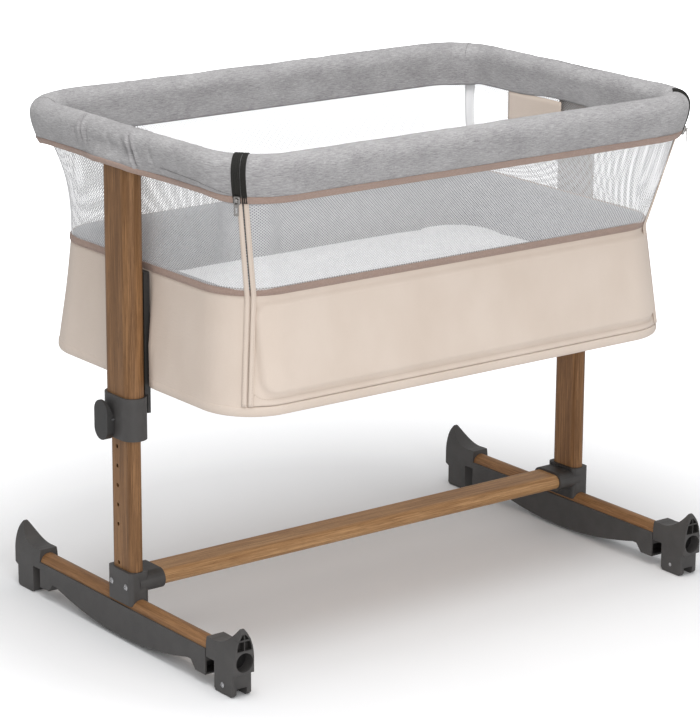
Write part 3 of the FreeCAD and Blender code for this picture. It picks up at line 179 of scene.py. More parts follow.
def capped(grid, faces, length, around):
    rows = grid.shape[1]
    last = (grid.shape[0] - 1) * rows
    faces = faces + [tuple(range(rows)), tuple(range(last, last + rows))[::-1]]
    uv = np.zeros(grid.shape[:2] + (2,))
    uv[..., 0], uv[..., 1] = length[:, None], np.asarray(around)[None, :]
    return grid.reshape(-1, 3), faces, uv.reshape(-1, 2)


def finishPiece(obj, body, replaced=()):
    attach(obj, body)
    if replaced:
        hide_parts(*replaced)
    return obj


def inScene(name, data):
    obj = bpy.data.objects.new(name, data)
    bpy.context.scene.collection.objects.link(obj)
    return obj


def newPiece(name, points, faces, material, uv=None, flat=False, outward=False):
    mesh = bpy.data.meshes.new(name)
    mesh.from_pydata(drawnIn(points).tolist(), [], [tuple(f) for f in faces])
    if uv is not None:
        layer = mesh.uv_layers.new(name="cloth")
        corner = np.zeros(len(mesh.loops), dtype=int)
        mesh.loops.foreach_get("vertex_index", corner)
        layer.data.foreach_set("uv", np.asarray(uv, float)[corner].ravel())
    mesh.polygons.foreach_set("use_smooth", [not flat] * len(mesh.polygons))
    mesh.materials.append(material)
    if outward:
        work = bmesh.new()
        work.from_mesh(mesh)
        bmesh.ops.recalc_face_normals(work, faces=work.faces)
        work.to_mesh(mesh)
        work.free()
    mesh.update()
    return inScene(name, mesh)


def joined(name, parts, material, outward=True):
    # several (points, faces, uv) sets as one piece
    points, faces, uv = [], [], []
    for partPoints, partFaces, partUv in parts:
        start = len(points)
        points.extend(np.asarray(partPoints).tolist())
        uv.extend(np.asarray(partUv).tolist())
        faces.extend([tuple(v + start for v in face) for face in partFaces])
    return newPiece(name, points, faces, material, uv, outward=outward)


# materials

def linear(red, green, blue):
    def one(value):
        value /= 255
        return value / 12.92 if value <= 0.04045 else ((value + 0.055) / 1.055) ** 2.4
    return (one(red), one(green), one(blue), 1.0)


def setInput(tree, socket, value):
    # links the socket to another one, or gives it a plain value
    if isinstance(value, bpy.types.NodeSocket):
        tree.links.new(value, socket)
    else:
        socket.default_value = value


class Shade:
    # a material whose nodes are added one call at a time
    def __init__(self, name, roughness=0.6, metal=0.0):
        self.material = bpy.data.materials.new(name)
        self.material.use_nodes = True
        self.tree = self.material.node_tree
        self.shader = self.tree.nodes["Principled BSDF"]
        self.shader.inputs["Roughness"].default_value = roughness
        self.shader.inputs["Metallic"].default_value = metal
        self.place = self.tree.nodes.new("ShaderNodeTexCoord")
        self.height = None

    def node(self, kind, inputs=None, **settings):
        made = self.tree.nodes.new("ShaderNode" + kind)
        for key, value in settings.items():
            setattr(made, key, value)
        for key, value in (inputs or {}).items():
            setInput(self.tree, made.inputs[key], value)
        return made

    def mapped(self, scale, source="Object", turn=(0, 0, 0)):
        return self.node("Mapping", {
            "Vector": self.place.outputs[source], "Scale": scale, "Rotation": turn,
        }).outputs["Vector"]

    def noise(self, scale, detail=3.0, source="Object", rough=0.55, lean=0.0):
        where = self.mapped(scale, source)
        return self.node("TexNoise", {
            "Vector": where, "Scale": 1.0, "Detail": detail, "Roughness": rough, "Distortion": lean,
        }).outputs["Fac"]

    def wave(self, scale, source="Object", bend=0.0, turn=(0, 0, 0)):
        where = self.mapped(scale, source, turn)
        return self.node("TexWave", {
            "Vector": where, "Scale": 1.0, "Distortion": bend, "Detail": 1.0,
        }, wave_type="BANDS", bands_direction="X", wave_profile="SIN").outputs["Fac"]

    def spread(self, value, low, high, start=0.0, end=1.0):
        return self.node("MapRange", {
            "Value": value, "From Min": low, "From Max": high, "To Min": start, "To Max": end,
        }).outputs["Result"]

    def maths(self, operation, a, b=0.0):
        made = self.tree.nodes.new("ShaderNodeMath")
        made.operation = operation
        for socket, value in zip(made.inputs, (a, b)):
            setInput(self.tree, socket, value)
        return made.outputs[0]

    def mix(self, amount, first, second):
        made = self.tree.nodes.new("ShaderNodeMix")
        made.data_type = "RGBA"
        # the sockets of the colour kind of this node
        for number, value in zip((0, 6, 7), (amount, first, second)):
            setInput(self.tree, made.inputs[number], value)
        return made.outputs[2]

    def ramp(self, value, stops):
        made = self.node("ValToRGB", {"Fac": value})
        elements = made.color_ramp.elements
        while len(elements) < len(stops):
            elements.new(0.5)
        for element, (position, colour) in zip(elements, stops):
            element.position = position
            element.color = colour
        return made.outputs["Color"]

    def bump(self, height, distance, strength=1.0):
        made = self.node("Bump", {"Height": height, "Distance": distance, "Strength": strength})
        if self.height is not None:
            self.tree.links.new(self.height, made.inputs["Normal"])
        self.height = made.outputs["Normal"]
        self.tree.links.new(self.height, self.shader.inputs["Normal"])

    def feed(self, socket, value):
        setInput(self.tree, self.shader.inputs[socket], value)


def melangeCloth():
    look = {"dark": linear(124, 122, 123), "middle": linear(160, 158, 159), "light": linear(196, 195, 195)}
    shade = Shade("melange_cloth", 0.92)
    streak = shade.noise((80, 950, 1), 4, "UV", 0.65, 0.4)
    fleck = shade.noise((300, 1900, 1), 2, "UV", 0.6)
    patch = shade.noise((16, 30, 1), 2, "UV")
    tone = shade.maths("ADD", shade.maths("MULTIPLY", streak, 0.50), shade.maths("MULTIPLY", fleck, 0.35))
    tone = shade.maths("ADD", tone, shade.maths("MULTIPLY", patch, 0.15))
    stops = [(0.37, look["dark"]), (0.50, look["middle"]), (0.63, look["light"])]
    shade.feed("Base Color", shade.ramp(tone, stops))
    shade.feed("Sheen Weight", 0.25)
    shade.feed("Roughness", shade.spread(fleck, 0.3, 0.7, 0.85, 0.98))
    courses = shade.wave((0, 420, 0), "UV", 0.0, (0, 0, math.pi / 2))
    shade.bump(shade.maths("ADD", shade.wave((320, 0, 0), "UV"), courses), 0.00025, 0.35)
    shade.bump(streak, 0.0006, 0.3)
    return shade.material


def ribbonCloth():
    shade = Shade("binding_ribbon", 0.75)
    tone = shade.noise((300, 300, 500), 2)
    patch = shade.noise((25, 25, 25), 2)
    base = shade.mix(tone, linear(148, 124, 112), linear(186, 161, 148))
    shade.feed("Base Color", shade.mix(shade.spread(patch, 0.3, 0.7, 0.0, 0.35), base, linear(152, 130, 120)))
    shade.feed("Sheen Weight", 0.15)
    twill = shade.wave((700, 700, 700), "Object", 0.6)
    shade.bump(twill, 0.0003, 0.5)
    return shade.material


def netThread():
    shade = Shade("net_thread", 0.7)
    tone = shade.noise((90, 90, 90), 2)
    shade.feed("Base Color", shade.mix(tone, linear(198, 198, 200), linear(224, 224, 224)))
    shade.feed("Sheen Weight", 0.2)
    shade.feed("Roughness", shade.spread(tone, 0.3, 0.7, 0.62, 0.8))
    shade.bump(shade.noise((1500, 1500, 1500), 1), 0.0002, 0.5)
    return shade.material


def beigeCloth():
    shade = Shade("beige_cloth", 0.62)
    tone = shade.noise((9, 9, 6), 3)
    fine = shade.noise((900, 900, 900), 2)
    base = shade.mix(shade.spread(tone, 0.35, 0.65), linear(217, 201, 187), linear(223, 208, 195))
    flecks = shade.spread(fine, 0.35, 0.65, 0.0, 0.12)
    shade.feed("Base Color", shade.mix(flecks, base, linear(200, 183, 168)))
    shade.feed("Sheen Weight", 0.12)
    shade.feed("Roughness", shade.spread(tone, 0.3, 0.7, 0.52, 0.68))
    upright = shade.wave((0, 0, 600), "Object", 0.0, (0, math.pi / 2, 0))
    weave = shade.maths("ADD", shade.wave((600, 600, 0)), upright)
    shade.bump(weave, 0.00012, 0.4)
    shade.bump(shade.noise((34, 34, 9), 3, lean=0.6), 0.0009, 0.3)
    shade.bump(shade.noise((120, 120, 60), 2), 0.0004, 0.3)
    return shade.material


def liningCloth():
    # the pale grey cloth inside the basket
    shade = Shade("lining_cloth", 0.85)
    tone, fine = shade.noise((12, 12, 12), 2), shade.noise((800, 800, 800), 2)
    base = shade.mix(tone, linear(150, 151, 155), linear(164, 165, 169))
    shade.feed("Base Color", shade.mix(shade.spread(fine, 0.3, 0.7, 0.0, 0.3), base, linear(140, 141, 146)))
    shade.feed("Roughness", shade.spread(fine, 0.3, 0.7, 0.8, 0.92))
    shade.bump(shade.noise((40, 40, 12), 3), 0.0012, 0.4)
    shade.bump(fine, 0.0002, 0.4)
    return shade.material


def zipBandCloth():
    shade = Shade("zip_band", 0.7)
    tone = shade.noise((260, 700, 1), 2, "UV")
    shade.feed("Base Color", shade.mix(tone, linear(30, 30, 28), linear(58, 57, 54)))
    shade.feed("Specular IOR Level", 0.25)
    shade.bump(shade.wave((0, 320, 0), "UV", 0.0, (0, 0, math.pi / 2)), 0.0007, 0.8)
    shade.bump(shade.wave((500, 0, 0), "UV"), 0.0002, 0.4)
    return shade.material


def mattressCloth():
    shade = Shade("mattress_cloth", 0.85)
    fine = shade.noise((700, 700, 700), 2)
    tone = shade.noise((6, 90, 14), 2)
    base = shade.mix(tone, linear(224, 224, 226), linear(238, 238, 238))
    shade.feed("Base Color", shade.mix(shade.spread(fine, 0.3, 0.7, 0.0, 0.14), base, linear(214, 214, 216)))
    shade.feed("Sheen Weight", 0.2)
    rows = shade.wave((0, 62, 0), "Object", 0.0)
    cells = shade.node("TexVoronoi", {"Vector": shade.mapped((150, 150, 150)), "Scale": 1.0})
    cells = cells.outputs["Distance"]
    shade.bump(rows, 0.0009, 0.4)
    shade.bump(cells, 0.0002, 0.4)
    return shade.material


def oakPrint(name, axis, dark=(102, 70, 41), light=(154, 114, 76)):
    # long grain along one axis, with pores and slow colour bands
    def stretched(across, length):
        return tuple(length if k == axis else across for k in range(3))
    shade = Shade(name, 0.5)
    shade.feed("Specular IOR Level", 0.3)
    band = shade.noise(stretched(60, 3.0), 3, lean=1.2)
    grain = shade.noise(stretched(620, 12.0), 5, rough=0.75, lean=0.3)
    pore = shade.noise(stretched(1300, 32), 2, rough=0.8)
    tone = shade.maths("ADD", shade.maths("MULTIPLY", band, 0.35), shade.maths("MULTIPLY", grain, 0.65))
    middle = [(a + b) / 2 for a, b in zip(dark, light)]
    base = shade.ramp(tone, [(0.38, linear(*dark)), (0.50, linear(*middle)), (0.60, linear(*light))])
    poreMask = shade.spread(pore, 0.58, 0.68, 0.0, 0.6)
    shade.feed("Base Color", shade.mix(poreMask, base, linear(66, 44, 27)))
    shade.feed("Roughness", shade.spread(grain, 0.3, 0.7, 0.40, 0.56))
    shade.bump(grain, 0.0003, 0.25)
    shade.bump(pore, 0.0001, 0.4)
    return shade.material


def mouldedPlastic(name, dark, light, roughness=0.5, edge=0.0):
    shade = Shade(name, roughness)
    shade.feed("Specular IOR Level", 0.35)
    tone = shade.noise((40, 40, 40), 3)
    fine = shade.noise((1600, 1600, 1600), 2)
    base = shade.mix(shade.spread(tone, 0.35, 0.65), linear(*dark), linear(*light))
    # sharp convex edges, found from the mesh's pointiness, are made lighter by the edge amount
    if edge:
        lighterEdges = shade.spread(shade.node("NewGeometry").outputs["Pointiness"], 0.52, 0.60, 0.0, edge)
        base = shade.mix(lighterEdges, base, linear(*[min(255, v + 42) for v in light]))
    shade.feed("Base Color", base)
    shade.feed("Roughness", shade.spread(fine, 0.3, 0.7, roughness - 0.06, roughness + 0.08))
    shade.bump(fine, 0.0002, 0.35)
    return shade.material


def brushedSteel(name, colour, roughness=0.28):
    shade = Shade(name, roughness, 1.0)
    lines = shade.noise((120, 120, 2600), 2)
    tone = shade.noise((60, 60, 60), 2)
    shade.feed("Base Color", shade.mix(tone, linear(*colour), linear(*[min(255, v + 24) for v in colour])))
    shade.feed("Roughness", shade.spread(lines, 0.3, 0.7, roughness - 0.08, roughness + 0.10))
    shade.bump(lines, 0.0001, 0.3)
    return shade.material


def pressedBoard():
    shade = Shade("pressed_board", 0.8)
    fibre = shade.noise((320, 60, 320), 4, rough=0.7)
    tone = shade.noise((25, 25, 25), 3)
    base = shade.mix(shade.spread(fibre, 0.35, 0.65), linear(148, 122, 92), linear(178, 152, 120))
    shade.feed("Base Color", shade.mix(shade.spread(tone, 0.3, 0.7, 0.0, 0.3), base, linear(132, 108, 82)))
    shade.feed("Roughness", shade.spread(fibre, 0.3, 0.7, 0.72, 0.9))
    shade.bump(fibre, 0.0003, 0.4)
    return shade.material


def threadCloth(name, dark, light):
    shade = Shade(name, 0.7)
    tone = shade.noise((900, 900, 900), 2)
    shade.feed("Base Color", shade.mix(tone, linear(*dark), linear(*light)))
    shade.feed("Sheen Weight", 0.3)
    shade.bump(shade.wave((2400, 2400, 2400), "Object", 0.3), 0.00015, 0.6)
    return shade.material


melange, ribbon, netWhite = melangeCloth(), ribbonCloth(), netThread()
beige, lining, zipBand, mattressWhite = beigeCloth(), liningCloth(), zipBandCloth(), mattressCloth()
board = pressedBoard()
oakUpright = oakPrint("oak_upright", 2)
# cross bar oak: a lighter copy of the legs' oak, painted light standing in for the light on the bar's top
# face
oakAlongPaintedLight = oakPrint("oak_along_painted_light", 0, (148, 108, 70), (206, 164, 118))
# foot bar oak: also a lighter copy of the legs' oak, painted light for the bars' lit faces
oakAcrossPaintedLight = oakPrint("oak_across_painted_light", 1, (116, 81, 50), (160, 119, 80))
greyPlastic = mouldedPlastic("grey_plastic", (46, 44, 43), (58, 56, 55), 0.46, 0.35)
blackPlastic = mouldedPlastic("black_plastic", (36, 35, 35), (46, 45, 44), 0.42, 0.2)
deepPlastic = mouldedPlastic("deep_black_plastic", (22, 21, 21), (30, 29, 29), 0.46)
wheelPlastic = mouldedPlastic("wheel_plastic_look", (42, 41, 41), (54, 53, 52), 0.55)
screwSteel = brushedSteel("screw_steel", (176, 176, 178), 0.24)
tubeSteel = brushedSteel("tube_steel", (120, 120, 122), 0.36)
zipSteel = brushedSteel("zip_steel", (150, 147, 144), 0.26)
darkThread = threadCloth("dark_thread", (64, 62, 62), (92, 90, 90))
mauveThread = threadCloth("mauve_thread", (150, 130, 126), (176, 158, 152))
beigeThread = threadCloth("beige_thread", (188, 170, 154), (214, 198, 184))
print("materials made")

nodeLooks = {
    "inner_leg_tube": oakUpright, "outer_leg_tube": oakUpright, "cross_bar": oakAlongPaintedLight, "foot_bar": oakAcrossPaintedLight,
    "rocker": greyPlastic, "tee_bracket": greyPlastic, "collar": greyPlastic, "release_lever": blackPlastic,
    "side_bracket": blackPlastic, "inner_leg_guide": blackPlastic, "rail_clamp": blackPlastic,
    "foot_cap": greyPlastic, "wheel": wheelPlastic, "wheel_axle": screwSteel, "bracket_screws": screwSteel,
    "rocker_screws": screwSteel, "bar_end_plugs": deepPlastic, "rail_end_plugs": blackPlastic,
    "lock_pin": screwSteel, "lever_spring": screwSteel, "lever_pins": screwSteel, "top_rail_tube": tubeSteel,
    "front_rail_tube": tubeSteel, "lower_frame_tube": tubeSteel, "base_board": board, "front_board": board,
    "zip_slider": zipSteel, "zip_pull": zipSteel,
}
for nodeName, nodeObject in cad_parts.items():
    stem = max((key for key in nodeLooks if nodeName.startswith(key)), key=len, default=None)
    if stem is None:
        continue
    nodeObject.data.materials.clear()
    nodeObject.data.materials.append(nodeLooks[stem])
print("carried-over nodes dressed")


# repeats made with geometry nodes

def newTree(name, numbers):
    tree = bpy.data.node_groups.new(name, "GeometryNodeTree")
    tree.interface.new_socket(name="Geometry", in_out="INPUT", socket_type="NodeSocketGeometry")
    for number in numbers:
        tree.interface.new_socket(name=number, in_out="INPUT", socket_type="NodeSocketFloat")
    tree.interface.new_socket(name="Look", in_out="INPUT", socket_type="NodeSocketMaterial")
    tree.interface.new_socket(name="Geometry", in_out="OUTPUT", socket_type="NodeSocketGeometry")

    def add(kind, inputs=None, **settings):
        made = tree.nodes.new(kind)
        for key, value in settings.items():
            setattr(made, key, value)
        for key, value in (inputs or {}).items():
            setInput(tree, made.inputs[key], value)
        return made

    return tree, add, add("NodeGroupInput").outputs


def closeTree(tree, add, geometry, look):
    real = add("GeometryNodeRealizeInstances", {"Geometry": geometry})
    painted = add("GeometryNodeSetMaterial", {"Geometry": real.outputs["Geometry"], "Material": look})
    add("NodeGroupOutput", {"Geometry": painted.outputs["Geometry"]})
    return tree


def runTree(obj, tree, values):
    modifier = obj.modifiers.new("repeat", "NODES")
    modifier.node_group = tree
    for item in tree.interface.items_tree:
        if item.in_out == "INPUT" and item.name in values:
            modifier[item.identifier] = values[item.name]
    bpy.context.view_layer.update()
    seen = obj.evaluated_get(bpy.context.evaluated_depsgraph_get())
    made = bpy.data.meshes.new_from_object(seen)
    obj.modifiers.clear()
    obj.data = made
    return obj


def bodyTree(name, blocks):
    # small bodies set along a line, each turned to follow it
    tree, add, given = newTree(name, ["Spacing", "Length", "Width", "Height"])
    curve = add("GeometryNodeMeshToCurve", {"Mesh": given["Geometry"]})
    points = add("GeometryNodeCurveToPoints", {
        "Curve": curve.outputs["Curve"], "Length": given["Spacing"],
    }, mode="LENGTH")
    if blocks:
        body = add("GeometryNodeMeshCube", {"Size": (1, 1, 1)})
    else:
        body = add("GeometryNodeMeshUVSphere", {"Segments": 8, "Rings": 5, "Radius": 0.5})
    size = add("ShaderNodeCombineXYZ", {"X": given["Width"], "Y": given["Height"], "Z": given["Length"]})
    shaped = add("GeometryNodeTransform", {"Geometry": body.outputs["Mesh"], "Scale": size.outputs["Vector"]})
    smoothed = add("GeometryNodeSetShadeSmooth", {
        "Geometry": shaped.outputs["Geometry"], "Shade Smooth": not blocks,
    })
    placed = add("GeometryNodeInstanceOnPoints", {
        "Points": points.outputs["Points"], "Instance": smoothed.outputs["Geometry"],
        "Rotation": points.outputs["Rotation"],
    })
    return closeTree(tree, add, placed.outputs["Instances"], given["Look"])


def netTree():
    # each face of a sheet becomes a hole with a thin frame of thread round it
    tree, add, given = newTree("net_holes", ["Hole"])
    raised = add("GeometryNodeExtrudeMesh", {
        "Mesh": given["Geometry"], "Offset Scale": 0.0, "Individual": True,
    }, mode="FACES")
    opened = add("GeometryNodeScaleElements", {
        "Geometry": raised.outputs["Mesh"], "Selection": raised.outputs["Top"], "Scale": given["Hole"],
    }, domain="FACE")
    cutOut = add("GeometryNodeDeleteGeometry", {
        "Geometry": opened.outputs["Geometry"], "Selection": raised.outputs["Top"],
    }, domain="FACE")
    return closeTree(tree, add, cutOut.outputs["Geometry"], given["Look"])


stitchTree, toothTree, holeTree = bodyTree("stitches", False), bodyTree("zip_teeth", True), netTree()


def lineObject(name, lines):
    points, edges = [], []
    for line in lines:
        start = len(points)
        points.extend(drawnIn(line).tolist())
        edges.extend([(k, k + 1) for k in range(start, start + len(line) - 1)])
    mesh = bpy.data.meshes.new(name)
    mesh.from_pydata(points, edges, [])
    return inScene(name, mesh)


def stitches(name, lines, look, body, spacing=0.0042, length=0.0029, width=0.0008, height=0.0007,
             tree=None):
    obj = runTree(lineObject(name, lines), tree or stitchTree, {
        "Spacing": spacing, "Length": length, "Width": width, "Height": height, "Look": look,
    })
    return finishPiece(obj, body)


# the padded rail sleeve, in two parts that meet at the zips

sleeveLook = {
    "columnStep": 0.0042, "closer": 3, "topPoints": 19, "sidePoints": 17, "shallow": 0.13, "overLeg": 0.13,
    "recess": [(0.0052, -0.0462), (-0.0005, -0.0405), (-0.0165, -0.0405), (-0.0188, -0.0462)],
    "lump": 0.0010, "pucker": 0.0007,
    "endEase": (0.36, 0.43), "cornerEase": (0.21, 0.27), "legEase": (0.02, 0.12),
    "headEase": (0.036, 0.135), "ribPlace": 3.36, "ribOut": 1.012, "ribLow": 0.011,
    "tuckPlace": 6.78, "tuckEnd": 0.014, "tuckHeight": -0.0225, "tuckDrop": 0.0120,
    "creases": [
        ((-0.031, 0.797), (-0.066, 0.757), 0.0078, 0.0028), ((0.104, 0.806), (0.090, 0.772), 0.0070, 0.0028),
        ((0.080, 0.790), (0.078, 0.762), 0.0026, 0.0036), ((0.116, 0.788), (0.108, 0.764), 0.0024, 0.0036),
        ((-0.004, 0.797), (-0.040, 0.772), 0.0022, 0.0045),
        ((-0.088, 0.790), (-0.104, 0.764), 0.0020, 0.0045),
        ((0.030, 0.800), (0.004, 0.770), 0.0012, 0.0060), ((-0.150, 0.800), (-0.168, 0.770), 0.0012, 0.0060),
    ],
}
railReference = (rail["halfLength"], rail["halfWidth"], rail["corner"], rail["height"])


def sleeveProfile():
    pad, drop = rail["pad"], -rail["skirtDrop"]
    outer = [(rail["skirtOut"] + (pad - rail["skirtOut"]) * math.sin(t * math.pi / 2) ** 1.15, drop * (1 - t))
             for t in np.linspace(0, 1, sleeveLook["sidePoints"])]
    angles = np.linspace(0, math.pi, sleeveLook["topPoints"])[1:-1]
    top = [(pad * math.cos(a), pad * math.sin(a)) for a in angles]
    inner = [(-rail["skirtIn"] - (pad - rail["skirtIn"]) * math.sin(t * math.pi / 2), drop * (1 - t))
             for t in np.linspace(1, 0, sleeveLook["sidePoints"])]
    return outer + top + inner


def skirtOut(v):
    # how far out the sleeve's outer face stands at height v under the tube's middle
    t = np.clip(1 + np.asarray(v, float) / rail["skirtDrop"], 0, 1)
    return rail["skirtOut"] + (rail["pad"] - rail["skirtOut"]) * np.sin(t * math.pi / 2) ** 1.15


def shallower(grid):
    # the skirt hangs less deep at the two ends
    x, y, z = grid[..., 0], grid[..., 1], grid[..., 2]
    share = smooth(*sleeveLook["endEase"], np.abs(x)) * (1 - smooth(*sleeveLook["cornerEase"], np.abs(y)))
    overLeg = 1 - smooth(*sleeveLook["legEase"], np.abs(y))
    hang = np.minimum(z - rail["height"], 0)
    grid[..., 2] = z - hang * share * (sleeveLook["shallow"] + sleeveLook["overLeg"] * overLeg)
    return grid


def bulged(points):
    # the sleeve is drawn out over the heads of the two legs
    x, y, z = points[..., 0], points[..., 1], points[..., 2]
    target = legs["outer"] - 0.0078 * smooth(0.757, 0.781, z) - 0.02 * smooth(0.779, 0.80, z)
    reach = (1 - smooth(*sleeveLook["headEase"], np.abs(y))) ** 1.5
    out = np.maximum(np.abs(x), target)
    moved = np.abs(x) + (out - np.abs(x)) * reach
    points[..., 0] = np.where(np.abs(x) > 0.43, np.sign(x) * moved, x)
    return points


def slack(grid):
    # slow lumps and small puckers of the padding
    lift = np.zeros(grid.shape[:2])
    for i in range(grid.shape[0]):
        for j in range(grid.shape[1]):
            p = grid[i, j]
            slow = noise.noise(Vector((p[0] * 14 + 3, p[1] * 14, p[2] * 30)))
            quick = noise.noise(Vector((p[0] * 55, p[1] * 55 + 7, p[2] * 16)))
            lift[i, j] = sleeveLook["lump"] * slow + sleeveLook["pucker"] * quick
    return lift


def creased(grid, outside):
    # folds in the cloth over the left leg: a groove with a soft ridge beside it
    lift = np.zeros(grid.shape[:2])
    for (y0, z0), (y1, z1), depth, width in sleeveLook["creases"]:
        start, run = np.array([y0, z0]), np.array([y1 - y0, z1 - z0])
        near = grid[..., 1:] - start
        t = np.clip((near @ run) / (run @ run), 0, 1)
        gap = np.linalg.norm(near - t[..., None] * run, axis=-1)
        fade = np.sin(np.clip(0.15 + 0.85 * t, 0.02, 0.98) * math.pi) ** 0.5
        fold = 0.35 * np.exp(-((gap - 2 * width) / width) ** 2) - np.exp(-(gap / (0.7 * width)) ** 2)
        lift += np.where((grid[..., 0] < -0.44) & outside, depth * fold * fade, 0)
    return lift


def sleevePoints(side, profile, s, withFolds=True):
    grid = np.zeros((len(s), len(profile), 3))
    facing = np.zeros_like(grid)
    for j, (u, v) in enumerate(profile):
        level = grown(railReference, u, v)
        grid[:, j], facing[:, j] = ring(level, fitted(s, level, railReference, side))
        grid[:, j, 2] = rail["height"] + v
    base = bulged(shallower(grid.copy()))
    if not withFolds:
        return base
    u = np.array([p[0] for p in profile])[None, :, None]
    v = np.array([p[1] for p in profile])[None, :, None]
    low = 1 - smooth(-rail["skirtDrop"], -rail["skirtDrop"] + 0.012, v[..., 0])
    lift = slack(grid) * (1 - 0.8 * low)
    if side == "basket":
        lift += creased(base, u[..., 0] > -0.001)
    away = facing * np.where(u > 0, 1, -1) * np.clip(1 - np.maximum(v, 0) / rail["pad"], 0, 1)
    away[..., 2] += np.clip(v[..., 0] / rail["pad"], 0, 1)
    return base + away * lift[..., None]


def makeSleeve(name, side, body, replaced):
    s, length = columns(railReference, side, sleeveLook["columnStep"], sleeveLook["closer"])
    profile = sleeveProfile() + sleeveLook["recess"][::-1]
    grid = sleevePoints(side, profile, s)
    faces = quads(len(s), len(profile), closed=True)
    points, faces, uv = capped(grid, faces, length, profileLength(profile))
    obj = newPiece(name, points, faces, melange, uv, outward=True)
    finishPiece(obj, body, replaced)


makeSleeve("rail_sleeve", "basket", "basket", ["rail_cover"])
makeSleeve("rail_sleeve_front", "front", "front_side", ["front_rail_cover"])
print("rail sleeve made")


# bindings along the sleeve's foot and along the seam

bindingLook = {"height": 0.0108, "outer": 0.0016, "seamTop": 0.5975}


def bindingStrip(side, rows, step=0.005, reference=railReference):
    s, length = columns(reference, side, step)
    return s, length, quads(len(s), rows, closed=True)


def railBindingPart(side):
    drop = -rail["skirtDrop"]
    heights = np.linspace(0, bindingLook["height"], 5)
    swell = [bindingLook["outer"] * math.sin(math.pi * (0.12 + 0.76 * k / 4)) ** 0.5 for k in range(5)]
    outer = [(float(skirtOut(drop + h)) + more, drop + h) for more, h in zip(swell, heights)]
    inner = [(float(skirtOut(drop + h)) - 0.0012, drop + h) for h in heights[::-1]]
    profile = outer + inner + [(float(skirtOut(drop)) - 0.0030, drop - 0.0002)]
    s, length, faces = bindingStrip(side, len(profile))
    grid = sleevePoints(side, profile, s, withFolds=False)
    shift = np.array([u - float(skirtOut(v)) for u, v in profile])[None, :]
    held = 1 - smooth(*sleeveLook["headEase"], np.abs(grid[..., 1]))
    grid[..., 0] += np.where(np.abs(grid[..., 0]) > 0.43, np.sign(grid[..., 0]) * shift * held, 0)
    return capped(grid, faces, length, profileLength(profile))


def besideLegs(grid):
    # the cloth is drawn in where it passes the two legs
    x, y = np.abs(grid[..., 0]), np.abs(grid[..., 1])
    for limit in ("shell", "slot"):
        x = x - np.maximum(0, x - legs[limit]) * (1 - smooth(*legs[limit + "Ease"], y))
    grid[..., 0] = np.sign(grid[..., 0]) * x
    return grid


def shellPoints(levels, side, s, reference=seamLevel, legRoom=True):
    grid = np.zeros((len(s), len(levels), 3))
    facing = np.zeros_like(grid)
    for j, level in enumerate(levels):
        grid[:, j], facing[:, j] = ring(level, fitted(s, level, reference, side))
    if legRoom:
        besideLegs(grid)
    return grid, facing


def seamBindingPart(side):
    z = seamLevel[3]
    top = bindingLook["seamTop"]
    middle = (z + top) / 2
    profile = [(0.0004, z), (0.0013, z + 0.0015), (0.0016, middle), (0.0013, top - 0.0015), (0.0003, top)]
    profile += [(-0.0026, top), (-0.0030, middle), (-0.0026, z)]
    levels = [grown(seamLevel, u, v - z) for u, v in profile]
    s, length, faces = bindingStrip(side, len(profile), reference=seamLevel)
    grid, _ = shellPoints(levels, side, s)
    return capped(grid, faces, length, profileLength(profile))


railEdge = joined("rail_edge", [railBindingPart("basket")], ribbon)
finishPiece(railEdge, "basket", ["rail_binding"])
seamEdge = joined("seam_edge", [seamBindingPart("basket")], ribbon)
finishPiece(seamEdge, "basket", ["seam_binding"])
frontEdges = joined("front_edges", [railBindingPart("front"), seamBindingPart("front")], ribbon)
finishPiece(frontEdges, "front_side", ["front_bindings"])


def railLine(side, v, out):
    s, _ = columns(railReference, side, 0.004)
    grid = sleevePoints(side, [(float(skirtOut(v)) + out, v)], s, withFolds=False)
    return grid[3:-3, 0]


def seamLine(side, z, out):
    s, _ = columns(seamLevel, side, 0.004)
    grid, _ = shellPoints([grown(seamLevel, out, z - seamLevel[3])], side, s)
    return grid[3:-3, 0]


stitchRow = {"rail": (-0.0405, 0.0016), "seam": (0.5895, 0.0016)}
for name, side, body in (("rail_edge_stitches", "basket", "basket"),
                         ("front_edge_stitches", "front", "front_side")):
    rows = [railLine(side, *stitchRow["rail"]), seamLine(side, *stitchRow["seam"])]
    stitches(name, rows, mauveThread, body)
print("bindings made")


# the net, with real holes

netLook = {
    "pitch": 0.0045, "hole": 0.62, "inset": 0.0086, "draw": 0.007, "give": 2.5, "top": 0.7475,
    "foot": 0.5962, "hold": 0.055, "cornerTop": 0.0721, "joinPlace": 3.30, "joinHalf": 0.085, "joinRows": 14,
}


def netLevel(t):
    # t runs from 0 at the seam to 1 at the sleeve
    inset = netLook["inset"]
    top = (rail["halfLength"] - inset, rail["halfWidth"] - inset, netLook["cornerTop"], 0)
    bottom = (seamLevel[0] - 0.0012, seamLevel[1] - 0.0012, seamLevel[2], 0)
    draw = netLook["draw"] * math.sin(math.pi * t)
    a, b, r, _ = between(bottom, top, t)
    z = netLook["foot"] + (netLook["top"] - netLook["foot"]) * t
    return (a - draw, b - draw, r - draw * netLook["give"], z)


